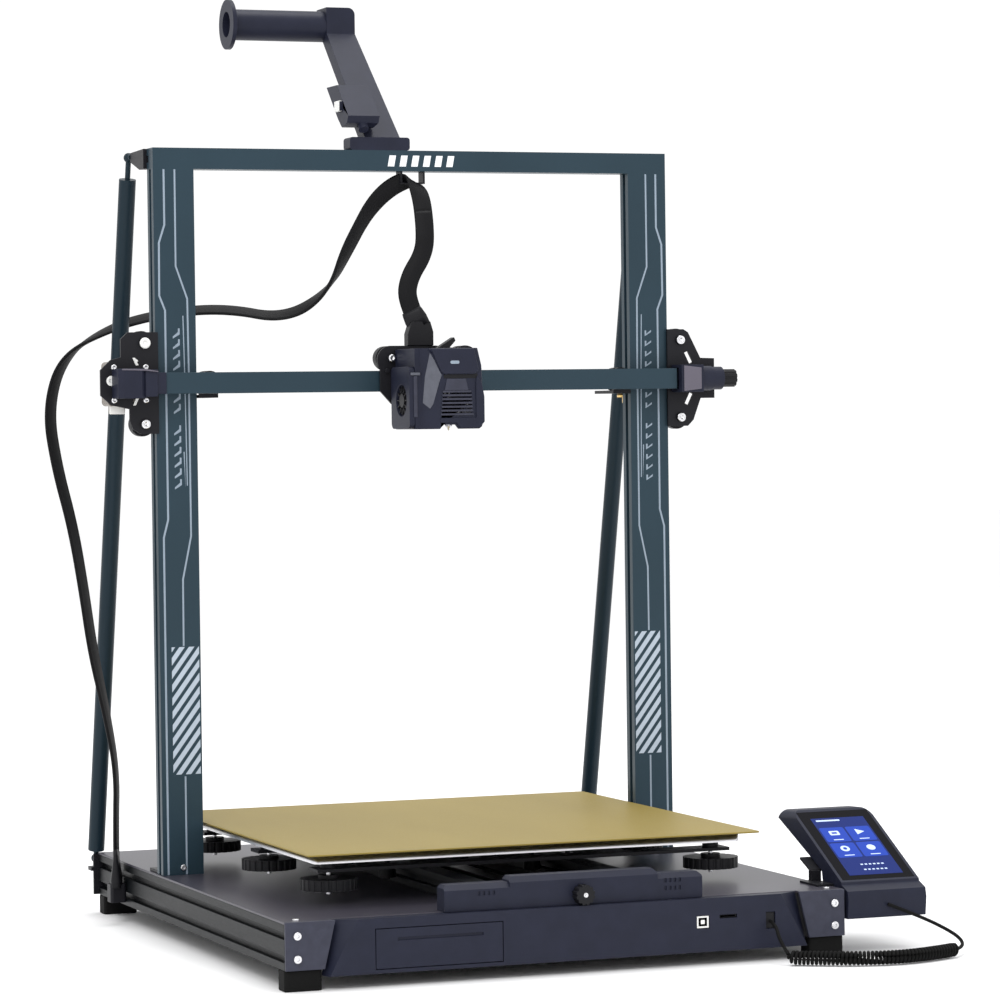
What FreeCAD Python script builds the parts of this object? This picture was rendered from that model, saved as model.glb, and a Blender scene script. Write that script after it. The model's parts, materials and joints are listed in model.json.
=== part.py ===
import FreeCAD
import Part
import math
import os

# Large moving-bed FDM printer. Millimetres, +X to the right as seen from the front,
# +Y to the rear, +Z up, feet on Z = 0. The model is drawn about the middle of the base
# and moved by CENTRE_SHIFT when it is saved, so that the origin is the centre of the
# footprint of the whole object without its cords.

os.makedirs("parts", exist_ok=True)
V = FreeCAD.Vector
X_AXIS = V(1, 0, 0)
Y_AXIS = V(0, 1, 0)
Z_AXIS = V(0, 0, 1)
CENTRE_SHIFT = V(-14.0, -2.3, 0)

# Base frame
HALF_WIDTH = 265.0          # outer faces of the side rails
HALF_DEPTH = 305.5          # ends of the side rails
FOOT_HEIGHT = 18.5
PROFILE = 20.0              # short side of the 20 x 40 slotted profile
PROFILE_2 = 40.0            # long side of the profile
RAIL_TOP = FOOT_HEIGHT + PROFILE_2
SHEET = 2.0                 # deck and bracket sheet thickness
DECK_TOP = RAIL_TOP + SHEET
RAIL_INNER = HALF_WIDTH - PROFILE
END_PLATE_T = 3.5
FASCIA_FRONT = -312.0
FASCIA_BOTTOM = 12.0
FASCIA_WALL = 2.5
FASCIA_JOINTS = (-240.0, -196.0, -56.0, 108.0, 138.0, 240.0)   # butt joints of its panels

# Portal
PORTAL_FRONT = 76.5         # front faces of the uprights
PORTAL_BACK = PORTAL_FRONT + PROFILE
PORTAL_HALF = 263.0
PORTAL_TOP = 750.0
BAR_BOTTOM = PORTAL_TOP - PROFILE
UPRIGHT_INNER = PORTAL_HALF - PROFILE_2
SLOT_WIDTH = 6.2
SLOT_DEPTH = 5.0

# Bed
BED_Y = -13.0               # middle of the heated plate
SHEET_HALF = 218.0
SHEET_TOP = 108.0
SHEET_T = 1.5
PLATE_HALF = 206.0
PLATE_BOTTOM = 97.5
PLATE_TOP = SHEET_TOP - SHEET_T
CARRIAGE_TOP = 91.5
CARRIAGE_T = 3.0
KNOB_X = 186.0
KNOB_R = 25.5
KNOB_TOP = 85.5
KNOB_HEIGHT = 13.0
KNOB_Y = {"front": -189.0, "middle": BED_Y, "rear": 163.0}
STUD_R = 2.0
Y_RAIL_X = 72.0             # middle of each bed rail
Y_RAIL_FRONT = -283.0
Y_RAIL_BACK = 297.0

# X gantry
BEAM_Z = 527.0
BEAM_FRONT = 52.0
BEAM_BACK = BEAM_FRONT + PROFILE
BEAM_LEFT = -260.0
BEAM_RIGHT = 263.0
PLATE_FRONT = BEAM_BACK + 0.3
PLATE_T = 3.0
PLATE_BACK = PLATE_FRONT + PLATE_T
WHEEL_R = 11.7
WHEEL_WIDTH = 10.0
WHEEL_GAP = 0.3             # clearance between a wheel and the profile it runs on
WHEEL_REACH = 38.2          # height of the outer wheels above and below the beam
OUTER_WHEEL_X = PORTAL_HALF + WHEEL_GAP + WHEEL_R
INNER_WHEEL_X = UPRIGHT_INNER - WHEEL_GAP - WHEEL_R
MOTOR = 42.0                # width of the stepper motors
X_MOTOR_X = -289.5
PULLEY_R = 6.11             # outside of the 20-tooth belt pulleys
PULLEY_Y = BEAM_FRONT + PROFILE / 2
X_IDLER_X = 277.5
TENSION_Y = 59.5            # middle of the tensioning screw
SLEEVE_BORE = 4.0
BELT_T = 1.4
BELT_WIDTH = 6.0
SCREW_X = 233.0
SCREW_Y = 107.5
SCREW_R = 4.0
RUNNING_FIT = 0.06
NUT_BRACKET_Z = 513.0

# Print head
HEAD_PLATE_FRONT = 46.0
HEAD_PLATE_T = 3.0
HEAD_WHEEL_X = 38.0
HEAD_LEFT = -34.0
HEAD_RIGHT = 31.0
HEAD_TOP = 557.0
HEAD_BOTTOM = 480.5
HEAD_FRONT = -24.0
INTAKE_Y, INTAKE_Z = 14.0, 508.0
FAN_X, FAN_Z = 4.0, 507.0
NOZZLE_X = 5.0
NOZZLE_Y = 6.0
NOZZLE_TIP = 479.0

# Screen
SCREEN_X0 = 267.5
SCREEN_X1 = 346.0

# Cords
CABLE_R = 5.0
SCREEN_CORD_R = 1.6
COIL_R = 6.8
BEND_SHARE = 0.45

Y_SHAFT_Z = 64.0            # height of the bed motor's shaft above the floor
Y_PULLEY_Y = 275.0          # bed motor's pulley
Y_IDLER_Y = -287.0          # idler of the bed belt, at the front
SPOOL_Y, SPOOL_Z = 206.5, 881.0     # axis of the spool tube


def box(x0, x1, y0, y1, z0, z1):
    return Part.makeBox(x1 - x0, y1 - y0, z1 - z0, V(x0, y0, z0))


def rod(start, axis, radius, length):
    return Part.makeCylinder(radius, length, start, axis)


def ring(start, axis, outer, inner, length):
    return rod(start, axis, outer, length).cut(rod(start, axis, inner, length))


def mirror_x(shape):
    return shape.mirror(V(0, 0, 0), X_AXIS)


def fuse(shapes):
    whole = shapes[0]
    for shape in shapes[1:]:
        whole = whole.fuse(shape)
    return whole.removeSplitter()


def group(shapes):
    return Part.makeCompound(shapes)


def prism_xz(points, y0, y1):
    wire = Part.makePolygon([V(x, y0, z) for x, z in points + points[:1]])
    return Part.Face(wire).extrude(V(0, y1 - y0, 0))


def prism_yz(points, x0, x1):
    wire = Part.makePolygon([V(x0, y, z) for y, z in points + points[:1]])
    return Part.Face(wire).extrude(V(x1 - x0, 0, 0))


def prism_xy(points, z0, z1):
    wire = Part.makePolygon([V(x, y, z0) for x, y in points + points[:1]])
    return Part.Face(wire).extrude(V(0, 0, z1 - z0))


def round_edges(shape, radius, direction):
    """Round the straight edges that run along direction."""
    edges = []
    for edge in shape.Edges:
        if len(edge.Vertexes) == 2:
            run = edge.Vertexes[1].Point.sub(edge.Vertexes[0].Point)
            if run.Length > 1e-6 and abs(run.normalize().dot(direction)) > 0.999:
                edges.append(edge)
    return shape.makeFillet(radius, edges)


def plan_outline(x0, x1, y0, y1, z0, z1, radius):
    """A plate with rounded corners in plan."""
    return round_edges(box(x0, x1, y0, y1, z0, z1), radius, Z_AXIS)


# ---------------------------------------------------------------- base frame

def side_rail(side):
    """20 x 40 profile on edge, two slots outside, one on top and one below."""
    outer = side * HALF_WIDTH
    inner = side * RAIL_INNER
    rail = box(min(outer, inner), max(outer, inner), -HALF_DEPTH, HALF_DEPTH, FOOT_HEIGHT, RAIL_TOP)
    for height in (FOOT_HEIGHT + PROFILE / 2, FOOT_HEIGHT + 1.5 * PROFILE):
        deep = outer - side * SLOT_DEPTH
        rail = rail.cut(box(min(outer, deep), max(outer, deep), -HALF_DEPTH, HALF_DEPTH,
                            height - SLOT_WIDTH / 2, height + SLOT_WIDTH / 2))
    relief = side * (SCREW_X + MOTOR / 2 + 0.4)
    return rail.cut(box(min(inner, relief), max(inner, relief), SCREW_Y - MOTOR / 2 - 0.5,
                        SCREW_Y + MOTOR / 2 + 0.5, FOOT_HEIGHT + 3, RAIL_TOP))


def y_rail(side):
    """Square profile that carries the bed, slotted on both flanks."""
    middle = side * Y_RAIL_X
    half = PROFILE / 2
    rail = box(middle - half, middle + half, Y_RAIL_FRONT, Y_RAIL_BACK, DECK_TOP, DECK_TOP + PROFILE)
    for flank in (-1, 1):
        edge = middle + flank * half
        deep = edge - flank * SLOT_DEPTH
        rail = rail.cut(box(min(edge, deep), max(edge, deep), Y_RAIL_FRONT, Y_RAIL_BACK,
                            DECK_TOP + half - SLOT_WIDTH / 2, DECK_TOP + half + SLOT_WIDTH / 2))
    return rail


BELT_SLOT = 9.0             # half width of the deck's channel for the bed belt
Z_MOTOR_FACE = 57.5
DRAWER_X0 = -184.0
DRAWER_X1 = -67.0
DRAWER_Z0 = 16.0
DRAWER_Z1 = 50.5
DRAWER_FLOOR = 20.6
DRAWER_BACK = -110.0
USB_X, USB_Z = 124.0, 39.0
CARD_X, CARD_Z = 148.5, 43.0
JACK_X, JACK_Z = 190.0, 37.0
INLET_X, INLET_Z = 150.0, 38.5
ROCKER_X = 190.0


def deck():
    plate = box(-HALF_WIDTH, HALF_WIDTH, -HALF_DEPTH, HALF_DEPTH, RAIL_TOP, DECK_TOP)
    plate = plate.cut(box(-221.5, 221.5, -HALF_DEPTH - 1, -299.7, RAIL_TOP, DECK_TOP))
    plate = plate.cut(box(-BELT_SLOT, BELT_SLOT, -298, 292, RAIL_TOP, DECK_TOP))
    plate = plate.cut(box(BELT_SLOT - 1, 56, 250, 300, RAIL_TOP, DECK_TOP))
    for side in (-1, 1):
        plate = plate.cut(rod(V(side * SCREW_X, SCREW_Y, RAIL_TOP), Z_AXIS, 12.0, SHEET))
    return plate


def base_tray():
    """Sheet tray between the side rails, with its rear wall and two cross members."""
    wall = 1.5
    outer = box(-RAIL_INNER, RAIL_INNER, -300, HALF_DEPTH, FOOT_HEIGHT, RAIL_TOP)
    inner = box(-RAIL_INNER + wall, RAIL_INNER - wall, -300 + wall, HALF_DEPTH - wall,
                FOOT_HEIGHT + wall, RAIL_TOP)
    tray = outer.cut(inner)
    tray = tray.cut(box(DRAWER_X0 - 1, DRAWER_X1 + 1, -305, -295, DRAWER_FLOOR - 0.4, DRAWER_Z1 + 1.5))
    for x, half in ((USB_X, 8), (CARD_X, 11), (JACK_X, 6)):
        tray = tray.cut(box(x - half, x + half, -302, -296, 28, 48))
    for side in (-1, 1):
        x0, x1 = sorted((side * 240.0, side * 250.0))
        tray = tray.cut(box(x0, x1, 85, 130, 21, RAIL_TOP))
    tray = tray.cut(box(INLET_X - 14, INLET_X + 14, 300, 310, INLET_Z - 10, INLET_Z + 10))
    tray = tray.cut(box(ROCKER_X - 11, ROCKER_X + 11, 300, 310, INLET_Z - 7.5, INLET_Z + 7.5))
    members = [box(-RAIL_INNER + wall, RAIL_INNER - wall, y, y + PROFILE, FOOT_HEIGHT + wall, 48)
               for y in (-60, 180)]
    vent_pitch = 12
    for column in range(9):
        x = -200 + column * vent_pitch
        tray = tray.cut(box(x, x + 5, 300, 310, 28, 50))
    return fuse([tray] + members)


def slanted_edge(z):
    """Inner edge of the end plates: 231 at the bottom, 220 at the top."""
    return 231.0 - (z - FASCIA_BOTTOM) * 11.0 / 46.5


def end_plate(side):
    """Front end cap of a side rail with a slanted inner edge and two screw holes."""
    top = RAIL_TOP + 2.0
    outline = [(side * HALF_WIDTH, FOOT_HEIGHT), (side * slanted_edge(FOOT_HEIGHT), FOOT_HEIGHT),
               (side * slanted_edge(top), top), (side * HALF_WIDTH, top)]
    return prism_xz(outline, -HALF_DEPTH - END_PLATE_T, -HALF_DEPTH)


def rod_bracket(side):
    """Rear end cap of a side rail with the shelf for the brace's lower ball."""
    plate = box(229, 270, HALF_DEPTH, HALF_DEPTH + 3, FOOT_HEIGHT, RAIL_TOP)
    shelf = box(258, 272.5, HALF_DEPTH, HALF_DEPTH + 12.8, 42, 46)
    bracket = fuse([plate, shelf])
    return bracket if side > 0 else mirror_x(bracket)


def screw_head(centre, axis, radius, height):
    """Button head with a hexagon socket."""
    head = rod(centre, axis, radius, height)
    rim = [edge for edge in head.Edges if edge.Curve.TypeId == "Part::GeomCircle"]
    far = max(rim, key=lambda edge: edge.CenterOfMass.dot(axis))
    head = head.makeFillet(height * 0.45, [far])
    return head.cut(rod(centre.add(axis * (height * 0.45)), axis, radius * 0.42, height))


def frame_screws():
    front = V(0, -1, 0)
    screws = []
    for side in (-1, 1):
        for z in (FOOT_HEIGHT + 10, FOOT_HEIGHT + 30):
            screws.append(screw_head(V(side * 254.5, -HALF_DEPTH - END_PLATE_T, z), front, 3.7, 2.4))
            screws.append(screw_head(V(side * 250.0, HALF_DEPTH + 3, z), Y_AXIS, 3.7, 2.4))
        screws.append(screw_head(V(side * 243.0, PORTAL_FRONT, DECK_TOP + 7), front, 3.0, 1.8))
        screws.append(screw_head(V(side * 252.0, -298, DECK_TOP), Z_AXIS, 3.0, 1.6))
    return group(screws)


def foot(x_side, y_side):
    x0, x1 = sorted((x_side * 231.0, x_side * HALF_WIDTH))
    y0, y1 = sorted((y_side * (HALF_DEPTH - 20.5), y_side * HALF_DEPTH))
    return round_edges(box(x0, x1, y0, y1, 0, FOOT_HEIGHT), 3.0, Z_AXIS)


def fascia():
    """Moulded front cover with slanted ends, open behind."""
    def shell(inset, front, back):
        bottom = FASCIA_BOTTOM + inset
        top = DECK_TOP - 0.3 - inset
        near = [(-226 + inset, bottom), (226 - inset, bottom), (200 - inset, top), (-200 + inset, top)]
        far = [(-230.4 + inset, bottom), (230.4 - inset, bottom), (219.4 - inset, top), (-219.4 + inset, top)]
        wires = []
        for outline, y in ((near, front), (far, back)):
            wires.append(Part.makePolygon([V(x, y, z) for x, z in outline + outline[:1]]))
        return Part.makeLoft(wires, True, True)
    cover = shell(0.0, FASCIA_FRONT, -300.3).cut(shell(FASCIA_WALL, FASCIA_FRONT + FASCIA_WALL, -299.0))
    cover = cover.cut(box(DRAWER_X0 - 0.6, DRAWER_X1 + 0.6, -320, -300, DRAWER_Z0 - 0.6, DRAWER_Z1 + 0.6))
    cover = cover.cut(box(USB_X - 6.3, USB_X + 6.3, -320, -300, USB_Z - 5.8, USB_Z + 5.8))
    cover = cover.cut(box(CARD_X - 8.5, CARD_X + 8.5, -320, -300, CARD_Z - 1.6, CARD_Z + 1.6))
    cover = cover.cut(box(JACK_X - 4.5, JACK_X + 4.5, -320, -300, JACK_Z - 7.5, JACK_Z + 7.5))
    panels = zip(FASCIA_JOINTS, FASCIA_JOINTS[1:])
    return group([cover.common(box(x0, x1, -320, -290, 0, RAIL_TOP + 10)) for x0, x1 in panels])


def ports():
    """USB socket, card reader, screen jack and mains inlet, each open at its mouth."""
    usb = box(USB_X - 6, USB_X + 6, -310.5, -294, USB_Z - 5.5, USB_Z + 5.5)
    usb = usb.cut(box(USB_X - 4.6, USB_X + 4.6, -312, -298, USB_Z - 4.1, USB_Z + 4.1))
    card = box(CARD_X - 8.2, CARD_X + 8.2, -310.5, -290, CARD_Z - 1.4, CARD_Z + 1.4)
    card = card.cut(box(CARD_X - 7.4, CARD_X + 7.4, -312, -294, CARD_Z - 0.7, CARD_Z + 0.7))
    jack = box(JACK_X - 4.2, JACK_X + 4.2, -310.5, -296, JACK_Z - 7.2, JACK_Z + 7.2)
    inlet = box(INLET_X - 13.7, INLET_X + 13.7, 284, 305.5, INLET_Z - 9.7, INLET_Z + 9.7)
    flange = box(INLET_X - 20, INLET_X + 20, HALF_DEPTH, 307.5, INLET_Z - 12, INLET_Z + 12)
    inlet_mouth = box(INLET_X - 11.5, INLET_X + 11.5, 290, 310, INLET_Z - 7.5, INLET_Z + 7.5)
    inlet = inlet.fuse(flange).cut(inlet_mouth)
    pins = [box(INLET_X + dx - 1, INLET_X + dx + 1, 289, 300, INLET_Z + dz - 2, INLET_Z + dz + 2)
            for dx, dz in ((-7, -2), (0, 2), (7, -2))]
    bezel = box(ROCKER_X - 12.5, ROCKER_X + 12.5, HALF_DEPTH, 307, INLET_Z - 9.5, INLET_Z + 9.5)
    bezel = bezel.cut(box(ROCKER_X - 9.6, ROCKER_X + 9.6, 300, 310, INLET_Z - 7.4, INLET_Z + 7.4))
    return group([usb, card, jack, fuse([inlet] + pins), bezel])


KNOB_Y_X, KNOB_Y_Z = 10.5, 69.7


def tensioner():
    """Bed-belt tensioner housing across the front, in two tiers with chamfered tops and vents."""
    front, back = -304.0, -285.0
    tiers = []
    for x0, x1, shoulder, top in ((-118, 127, 79.0, 83.5), (-57, 84, 83.2, 88.1)):
        section = [(front, DECK_TOP), (front, shoulder), (front + 5.5, top), (back, top), (back, DECK_TOP)]
        tier = prism_yz(section, x0, x1)
        ends = [edge for edge in tier.Edges if abs(edge.CenterOfMass.z - top) < 1e-6 and edge.Length < 14]
        tiers.append(tier.makeChamfer(3.0, ends))
    body = fuse(tiers).cut(box(-98, 106, front + 3, back + 1, DECK_TOP, 79))
    for column in range(4):
        for x, z in ((-87, 73.5), (90, 75.5), (90, 68.5)):
            left = x + column * 4.6
            body = body.cut(box(left, left + 2.4, front - 1, front + 1.2, z, z + 3.6))
    return body.cut(rod(V(KNOB_Y_X, -320, KNOB_Y_Z), Y_AXIS, 3.1, 30))


def y_knob():
    """Thumb wheel of the bed-belt tensioner and its screw."""
    wheel = rod(V(KNOB_Y_X, -315, KNOB_Y_Z), Y_AXIS, 9.0, 10.6)
    for step in range(12):
        angle = math.radians(30 * step)
        groove = V(KNOB_Y_X + 9.6 * math.cos(angle), -317, KNOB_Y_Z + 9.6 * math.sin(angle))
        wheel = wheel.cut(rod(groove, Y_AXIS, 1.6, 14))
    return fuse([wheel, rod(V(KNOB_Y_X, -306, KNOB_Y_Z), Y_AXIS, 3.0, 17)])


def stepper(centre, axis, length, shaft_length, shaft_r=2.5):
    """Square motor whose shaft leaves along axis from the centre of its front face."""
    half = MOTOR / 2
    body = Part.makeBox(MOTOR, MOTOR, length, V(-half, -half, -length))
    body = round_edges(body, 4.0, Z_AXIS)
    boss = rod(V(0, 0, -0.5), Z_AXIS, 11.0, 0.8)
    shaft = rod(V(0, 0, 0), Z_AXIS, shaft_r, shaft_length)
    motor = fuse([body, boss, shaft])
    motor.Placement = FreeCAD.Placement(centre, FreeCAD.Rotation(Z_AXIS, axis))
    return motor


def base_motors():
    motors = [stepper(V(side * SCREW_X, SCREW_Y, Z_MOTOR_FACE - 0.5), Z_AXIS, 34.0, 4.0) for side in (-1, 1)]
    y_motor = stepper(V(12, Y_PULLEY_Y, Y_SHAFT_Z), V(-1, 0, 0), 32.0, 6.0)
    bracket = box(9.5, 12, 252, 298, DECK_TOP - 14, 86).cut(rod(V(9, Y_PULLEY_Y, Y_SHAFT_Z), X_AXIS, 13, 4))
    return group(motors + [y_motor, bracket])


def electronics():
    supply = box(60, 195, -38, 170, 21, 56.5)
    board = box(-60, 70, -285, -190, 24, 26)
    chips = [box(-40 + 24 * i, -26 + 24 * i, -262, -248, 26, 34) for i in range(4)]
    return group([supply, fuse([board] + chips)])


def belt_loop(centre_a, centre_b, radius, thickness, width, normal):
    """Closed belt around two equal pulleys; normal is the pulleys' axis."""
    run = centre_b.sub(centre_a)
    along = V(run).normalize()
    up = normal.cross(along)
    def stadium(r):
        slab_points = [centre_a.add(up * r), centre_b.add(up * r), centre_b.sub(up * r), centre_a.sub(up * r)]
        slab = Part.Face(Part.makePolygon(slab_points + slab_points[:1])).extrude(normal * width)
        return fuse([slab, rod(centre_a, normal, r, width), rod(centre_b, normal, r, width)])
    return stadium(radius + thickness).cut(stadium(radius))


def y_belt():
    start = V(-BELT_WIDTH / 2, Y_IDLER_Y, Y_SHAFT_Z)
    end = V(-BELT_WIDTH / 2, Y_PULLEY_Y, Y_SHAFT_Z)
    return belt_loop(start, end, PULLEY_R, BELT_T, BELT_WIDTH, X_AXIS)


# ---------------------------------------------------------------- portal

def upright(side):
    """20 x 40 profile, smooth in front, slotted at both flanks and behind."""
    x0, x1 = sorted((side * UPRIGHT_INNER, side * PORTAL_HALF))
    post = box(x0, x1, PORTAL_FRONT, PORTAL_BACK, DECK_TOP, BAR_BOTTOM)
    middle = (PORTAL_FRONT + PORTAL_BACK) / 2
    half = SLOT_WIDTH / 2
    post = post.cut(box(x0, x0 + SLOT_DEPTH, middle - half, middle + half, DECK_TOP, BAR_BOTTOM))
    post = post.cut(box(x1 - SLOT_DEPTH, x1, middle - half, middle + half, DECK_TOP, BAR_BOTTOM))
    for x in (x0 + PROFILE / 2, x1 - PROFILE / 2):
        post = post.cut(box(x - half, x + half, PORTAL_BACK - SLOT_DEPTH, PORTAL_BACK, DECK_TOP, BAR_BOTTOM))
    return post


def top_bar():
    bar = box(-PORTAL_HALF, PORTAL_HALF, PORTAL_FRONT, PORTAL_BACK, BAR_BOTTOM, PORTAL_TOP)
    half = SLOT_WIDTH / 2
    middle = (BAR_BOTTOM + PORTAL_TOP) / 2
    return bar.cut(box(-PORTAL_HALF, PORTAL_HALF, PORTAL_BACK - SLOT_DEPTH, PORTAL_BACK,
                       middle - half, middle + half))


BRACE_X = 265.5
BRACE_TOP = V(BRACE_X, 152.0, 745.0)
BRACE_FOOT = V(BRACE_X, 313.6, 54.0)
BRACE_R = 8.2


def corner_bracket(side):
    outline = [(PORTAL_BACK, 731), (112, 731), (143, 740), (143, 749), (PORTAL_BACK, 750)]
    bracket = prism_yz(outline, 259.5, 266.5)
    return bracket if side > 0 else mirror_x(bracket)


def screw_bearing(side):
    """Block behind the top bar that steadies the upper end of a lead screw."""
    x = side * SCREW_X
    block = box(x - 12, x + 12, PORTAL_BACK, SCREW_Y + 11, 732, 741)
    return block.cut(rod(V(x, SCREW_Y, 730), Z_AXIS, SCREW_R + RUNNING_FIT, 12))


def upright_foot(side):
    """Angle bracket that holds an upright to the deck from behind."""
    x0, x1 = sorted((side * 245.0, side * 262.0))
    floor = box(x0, x1, PORTAL_BACK, PORTAL_BACK + 30, DECK_TOP, DECK_TOP + 3)
    back = box(x0, x1, PORTAL_BACK, PORTAL_BACK + 3, DECK_TOP, DECK_TOP + 34)
    return fuse([floor, back])


def cable_clip():
    """Strap clip under the middle of the top bar."""
    clip = box(-14, 11, 79, 93, 718, BAR_BOTTOM)
    return clip.cut(box(-12, 9, 70, 100, 719.4, BAR_BOTTOM + 1))


def frame_brackets():
    parts = []
    for side in (-1, 1):
        parts += [corner_bracket(side), screw_bearing(side), upright_foot(side), rod_bracket(side)]
    return group(parts + [cable_clip()])


def brace(side):
    """Tube between two ball ends, from the top corner to the rear of the base."""
    axis = BRACE_FOOT.sub(BRACE_TOP)
    full = axis.Length
    axis.normalize()
    tube = rod(BRACE_TOP.add(axis * 21), axis, BRACE_R, full - 30)
    stem = rod(BRACE_TOP, axis, 2.6, full)
    parts = [tube, stem, Part.makeSphere(4.8, BRACE_TOP), Part.makeSphere(4.7, BRACE_FOOT)]
    parts.append(rod(BRACE_TOP.sub(Y_AXIS * 9), Y_AXIS, 2.4, 9))
    parts.append(rod(V(BRACE_X, BRACE_FOOT.y, 46), Z_AXIS, 2.6, 8))
    whole = fuse(parts)
    return whole if side > 0 else mirror_x(whole)


# ---------------------------------------------------------------- spool holder


def spool_arm():
    """Foot on the bar, arm leaning to the rear and its upright head."""
    foot_block = box(-66, -5, PORTAL_FRONT, PORTAL_BACK, PORTAL_TOP, PORTAL_TOP + 12.5)
    foot_block = round_edges(foot_block, 3.0, Y_AXIS)
    low = PORTAL_TOP + 12
    outline = [(79, low), (191, 873), (191, 899), (222, 899), (222, 883), (98, low)]
    arm = prism_yz(outline, -50, -14)
    right_slant = prism_xz([(-14, low - 1), (-20.5, 873), (-20.5, 900), (-10, 900), (-10, low - 1)], 60, 240)
    arm = arm.cut(right_slant)
    top_corner = [edge for edge in arm.Edges
                  if abs(edge.CenterOfMass.z - 899) < 1e-6 and abs(edge.CenterOfMass.x + 20.5) < 1e-6]
    return fuse([foot_block, arm.makeFillet(7.0, top_corner)])


def spool_tube():
    axle = rod(V(-142, SPOOL_Y, SPOOL_Z), X_AXIS, 15.2, 94)
    flange = rod(V(-149, SPOOL_Y, SPOOL_Z), X_AXIS, 24.5, 4.0)
    collar = Part.makeCone(20.0, 15.2, 3.0, V(-145, SPOOL_Y, SPOOL_Z), X_AXIS)
    hollow = rod(V(-150, SPOOL_Y, SPOOL_Z), X_AXIS, 12.6, 98)
    return fuse([axle, flange, collar]).cut(hollow)


def filament_sensor():
    """Runout switch in front of the arm, with its inlet and outlet fittings."""
    case = prism_yz([(99, 814), (66, 782), (70, 775.5), (86, 772), (97.5, 781), (131, 814)], -71, -39)
    outlet = rod(V(-54, 77, 779), V(0, -0.55, -0.84), 5.0, 12)
    plug = box(-74, -71, 82, 94, 788, 797)
    return fuse([case, outlet, plug])


# ---------------------------------------------------------------- bed

def bed_carriage():
    """Frame under the bed: three cross bars joined by flat bars, a belt clamp and spacers."""
    z0 = CARRIAGE_TOP - CARRIAGE_T
    half_bar = 12.0
    bars = []
    for y in KNOB_Y.values():
        bar = box(-200, 200, y - half_bar, y + half_bar, z0, CARRIAGE_TOP)
        for side in (-1, 1):
            bar = bar.cut(rod(V(side * KNOB_X, y, 80), Z_AXIS, 2.6, 20))
        bars.append(bar)
    for y0, y1 in ((KNOB_Y["front"], KNOB_Y["middle"]), (KNOB_Y["middle"], KNOB_Y["rear"])):
        for side in (-1, 1):
            bars.append(box(side * 85 - 20, side * 85 + 20, y0 + half_bar, y1 - half_bar, z0, CARRIAGE_TOP))
    clamp = box(-8, 8, BED_Y - 12, BED_Y + 12, 68.5, z0)
    clamp = clamp.cut(box(-4, 4, BED_Y - 20, BED_Y + 20, 68, 73.5))
    spacers = []
    for side in (-1, 1):
        for y in KNOB_Y.values():
            seat = V(side * KNOB_X, y, CARRIAGE_TOP)
            spacers.append(ring(seat, Z_AXIS, 7.5, 2.6, PLATE_BOTTOM - CARRIAGE_TOP))
    return group(bars + [clamp] + spacers)


def bed_wheels():
    """Rollers on both flanks of each rail, with their axles."""
    wheels = []
    z = DECK_TOP + PROFILE / 2
    for side in (-1, 1):
        for flank in (-1, 1):
            x = side * Y_RAIL_X + flank * (PROFILE / 2 + WHEEL_GAP + 8.0)
            for y in (BED_Y - 60, BED_Y + 60):
                wheel = rod(V(x, y, z - 4.5), Z_AXIS, 8.0, 9.0)
                axle = rod(V(x, y, z - 6), Z_AXIS, 2.5, CARRIAGE_TOP - CARRIAGE_T - z + 6)
                wheels.append(fuse([wheel, axle]))
    return group(wheels)


def bed_plate():
    plate = plan_outline(-PLATE_HALF, PLATE_HALF, -212, 193, PLATE_BOTTOM, PLATE_TOP - 1, 6)
    magnet = plan_outline(-PLATE_HALF, PLATE_HALF, -212, 193, PLATE_TOP - 1, PLATE_TOP, 6)
    studs = [rod(V(side * KNOB_X, y, 68), Z_AXIS, STUD_R, PLATE_BOTTOM - 68)
             for side in (-1, 1) for y in KNOB_Y.values()]
    return group([plate, magnet] + studs)


def print_sheet():
    front = BED_Y - SHEET_HALF
    sheet = plan_outline(-SHEET_HALF, SHEET_HALF, front, front + 2 * SHEET_HALF, PLATE_TOP, SHEET_TOP, 4)
    return sheet


def bed_knob(side, y):
    """Knurled levelling wheel with a boss, bored for its stud."""
    centre = V(side * KNOB_X, y, KNOB_TOP - KNOB_HEIGHT)
    wheel = rod(centre, Z_AXIS, KNOB_R, KNOB_HEIGHT - 3)
    for step in range(24):
        angle = math.radians(15 * step)
        groove = centre.add(V(math.cos(angle) * (KNOB_R + 0.6), math.sin(angle) * (KNOB_R + 0.6), -1))
        wheel = wheel.cut(rod(groove, Z_AXIS, 1.7, KNOB_HEIGHT + 2))
    boss = rod(centre, Z_AXIS, 9.0, KNOB_HEIGHT)
    return fuse([wheel, boss]).cut(rod(centre.sub(Z_AXIS), Z_AXIS, STUD_R + RUNNING_FIT, KNOB_HEIGHT + 2))


# ---------------------------------------------------------------- X gantry

def x_beam():
    """Square profile, smooth in front, with the belt running in its top and bottom slots."""
    half = PROFILE / 2
    beam = box(BEAM_LEFT, BEAM_RIGHT, BEAM_FRONT, BEAM_BACK, BEAM_Z - half, BEAM_Z + half)
    slot = SLOT_WIDTH / 2 + 0.6
    for z0, z1 in ((BEAM_Z - half, BEAM_Z - 5.4), (BEAM_Z + 5.4, BEAM_Z + half)):
        beam = beam.cut(box(BEAM_LEFT, BEAM_RIGHT, PULLEY_Y - slot, PULLEY_Y + slot, z0, z1))
    return beam


def plate_neck():
    """Strip behind the beam to the inner wheel, and the tab that carries the nut bracket."""
    half = PROFILE / 2 - 0.5
    neck = box(INNER_WHEEL_X, 264, PLATE_FRONT, PLATE_BACK, BEAM_Z - half, BEAM_Z + half)
    tip = rod(V(INNER_WHEEL_X, PLATE_FRONT, BEAM_Z), Y_AXIS, WHEEL_R, PLATE_T)
    tab = box(203, UPRIGHT_INNER - 1.3, PLATE_FRONT, PLATE_BACK, NUT_BRACKET_Z, BEAM_Z)
    return [neck, tip, tab]


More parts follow.
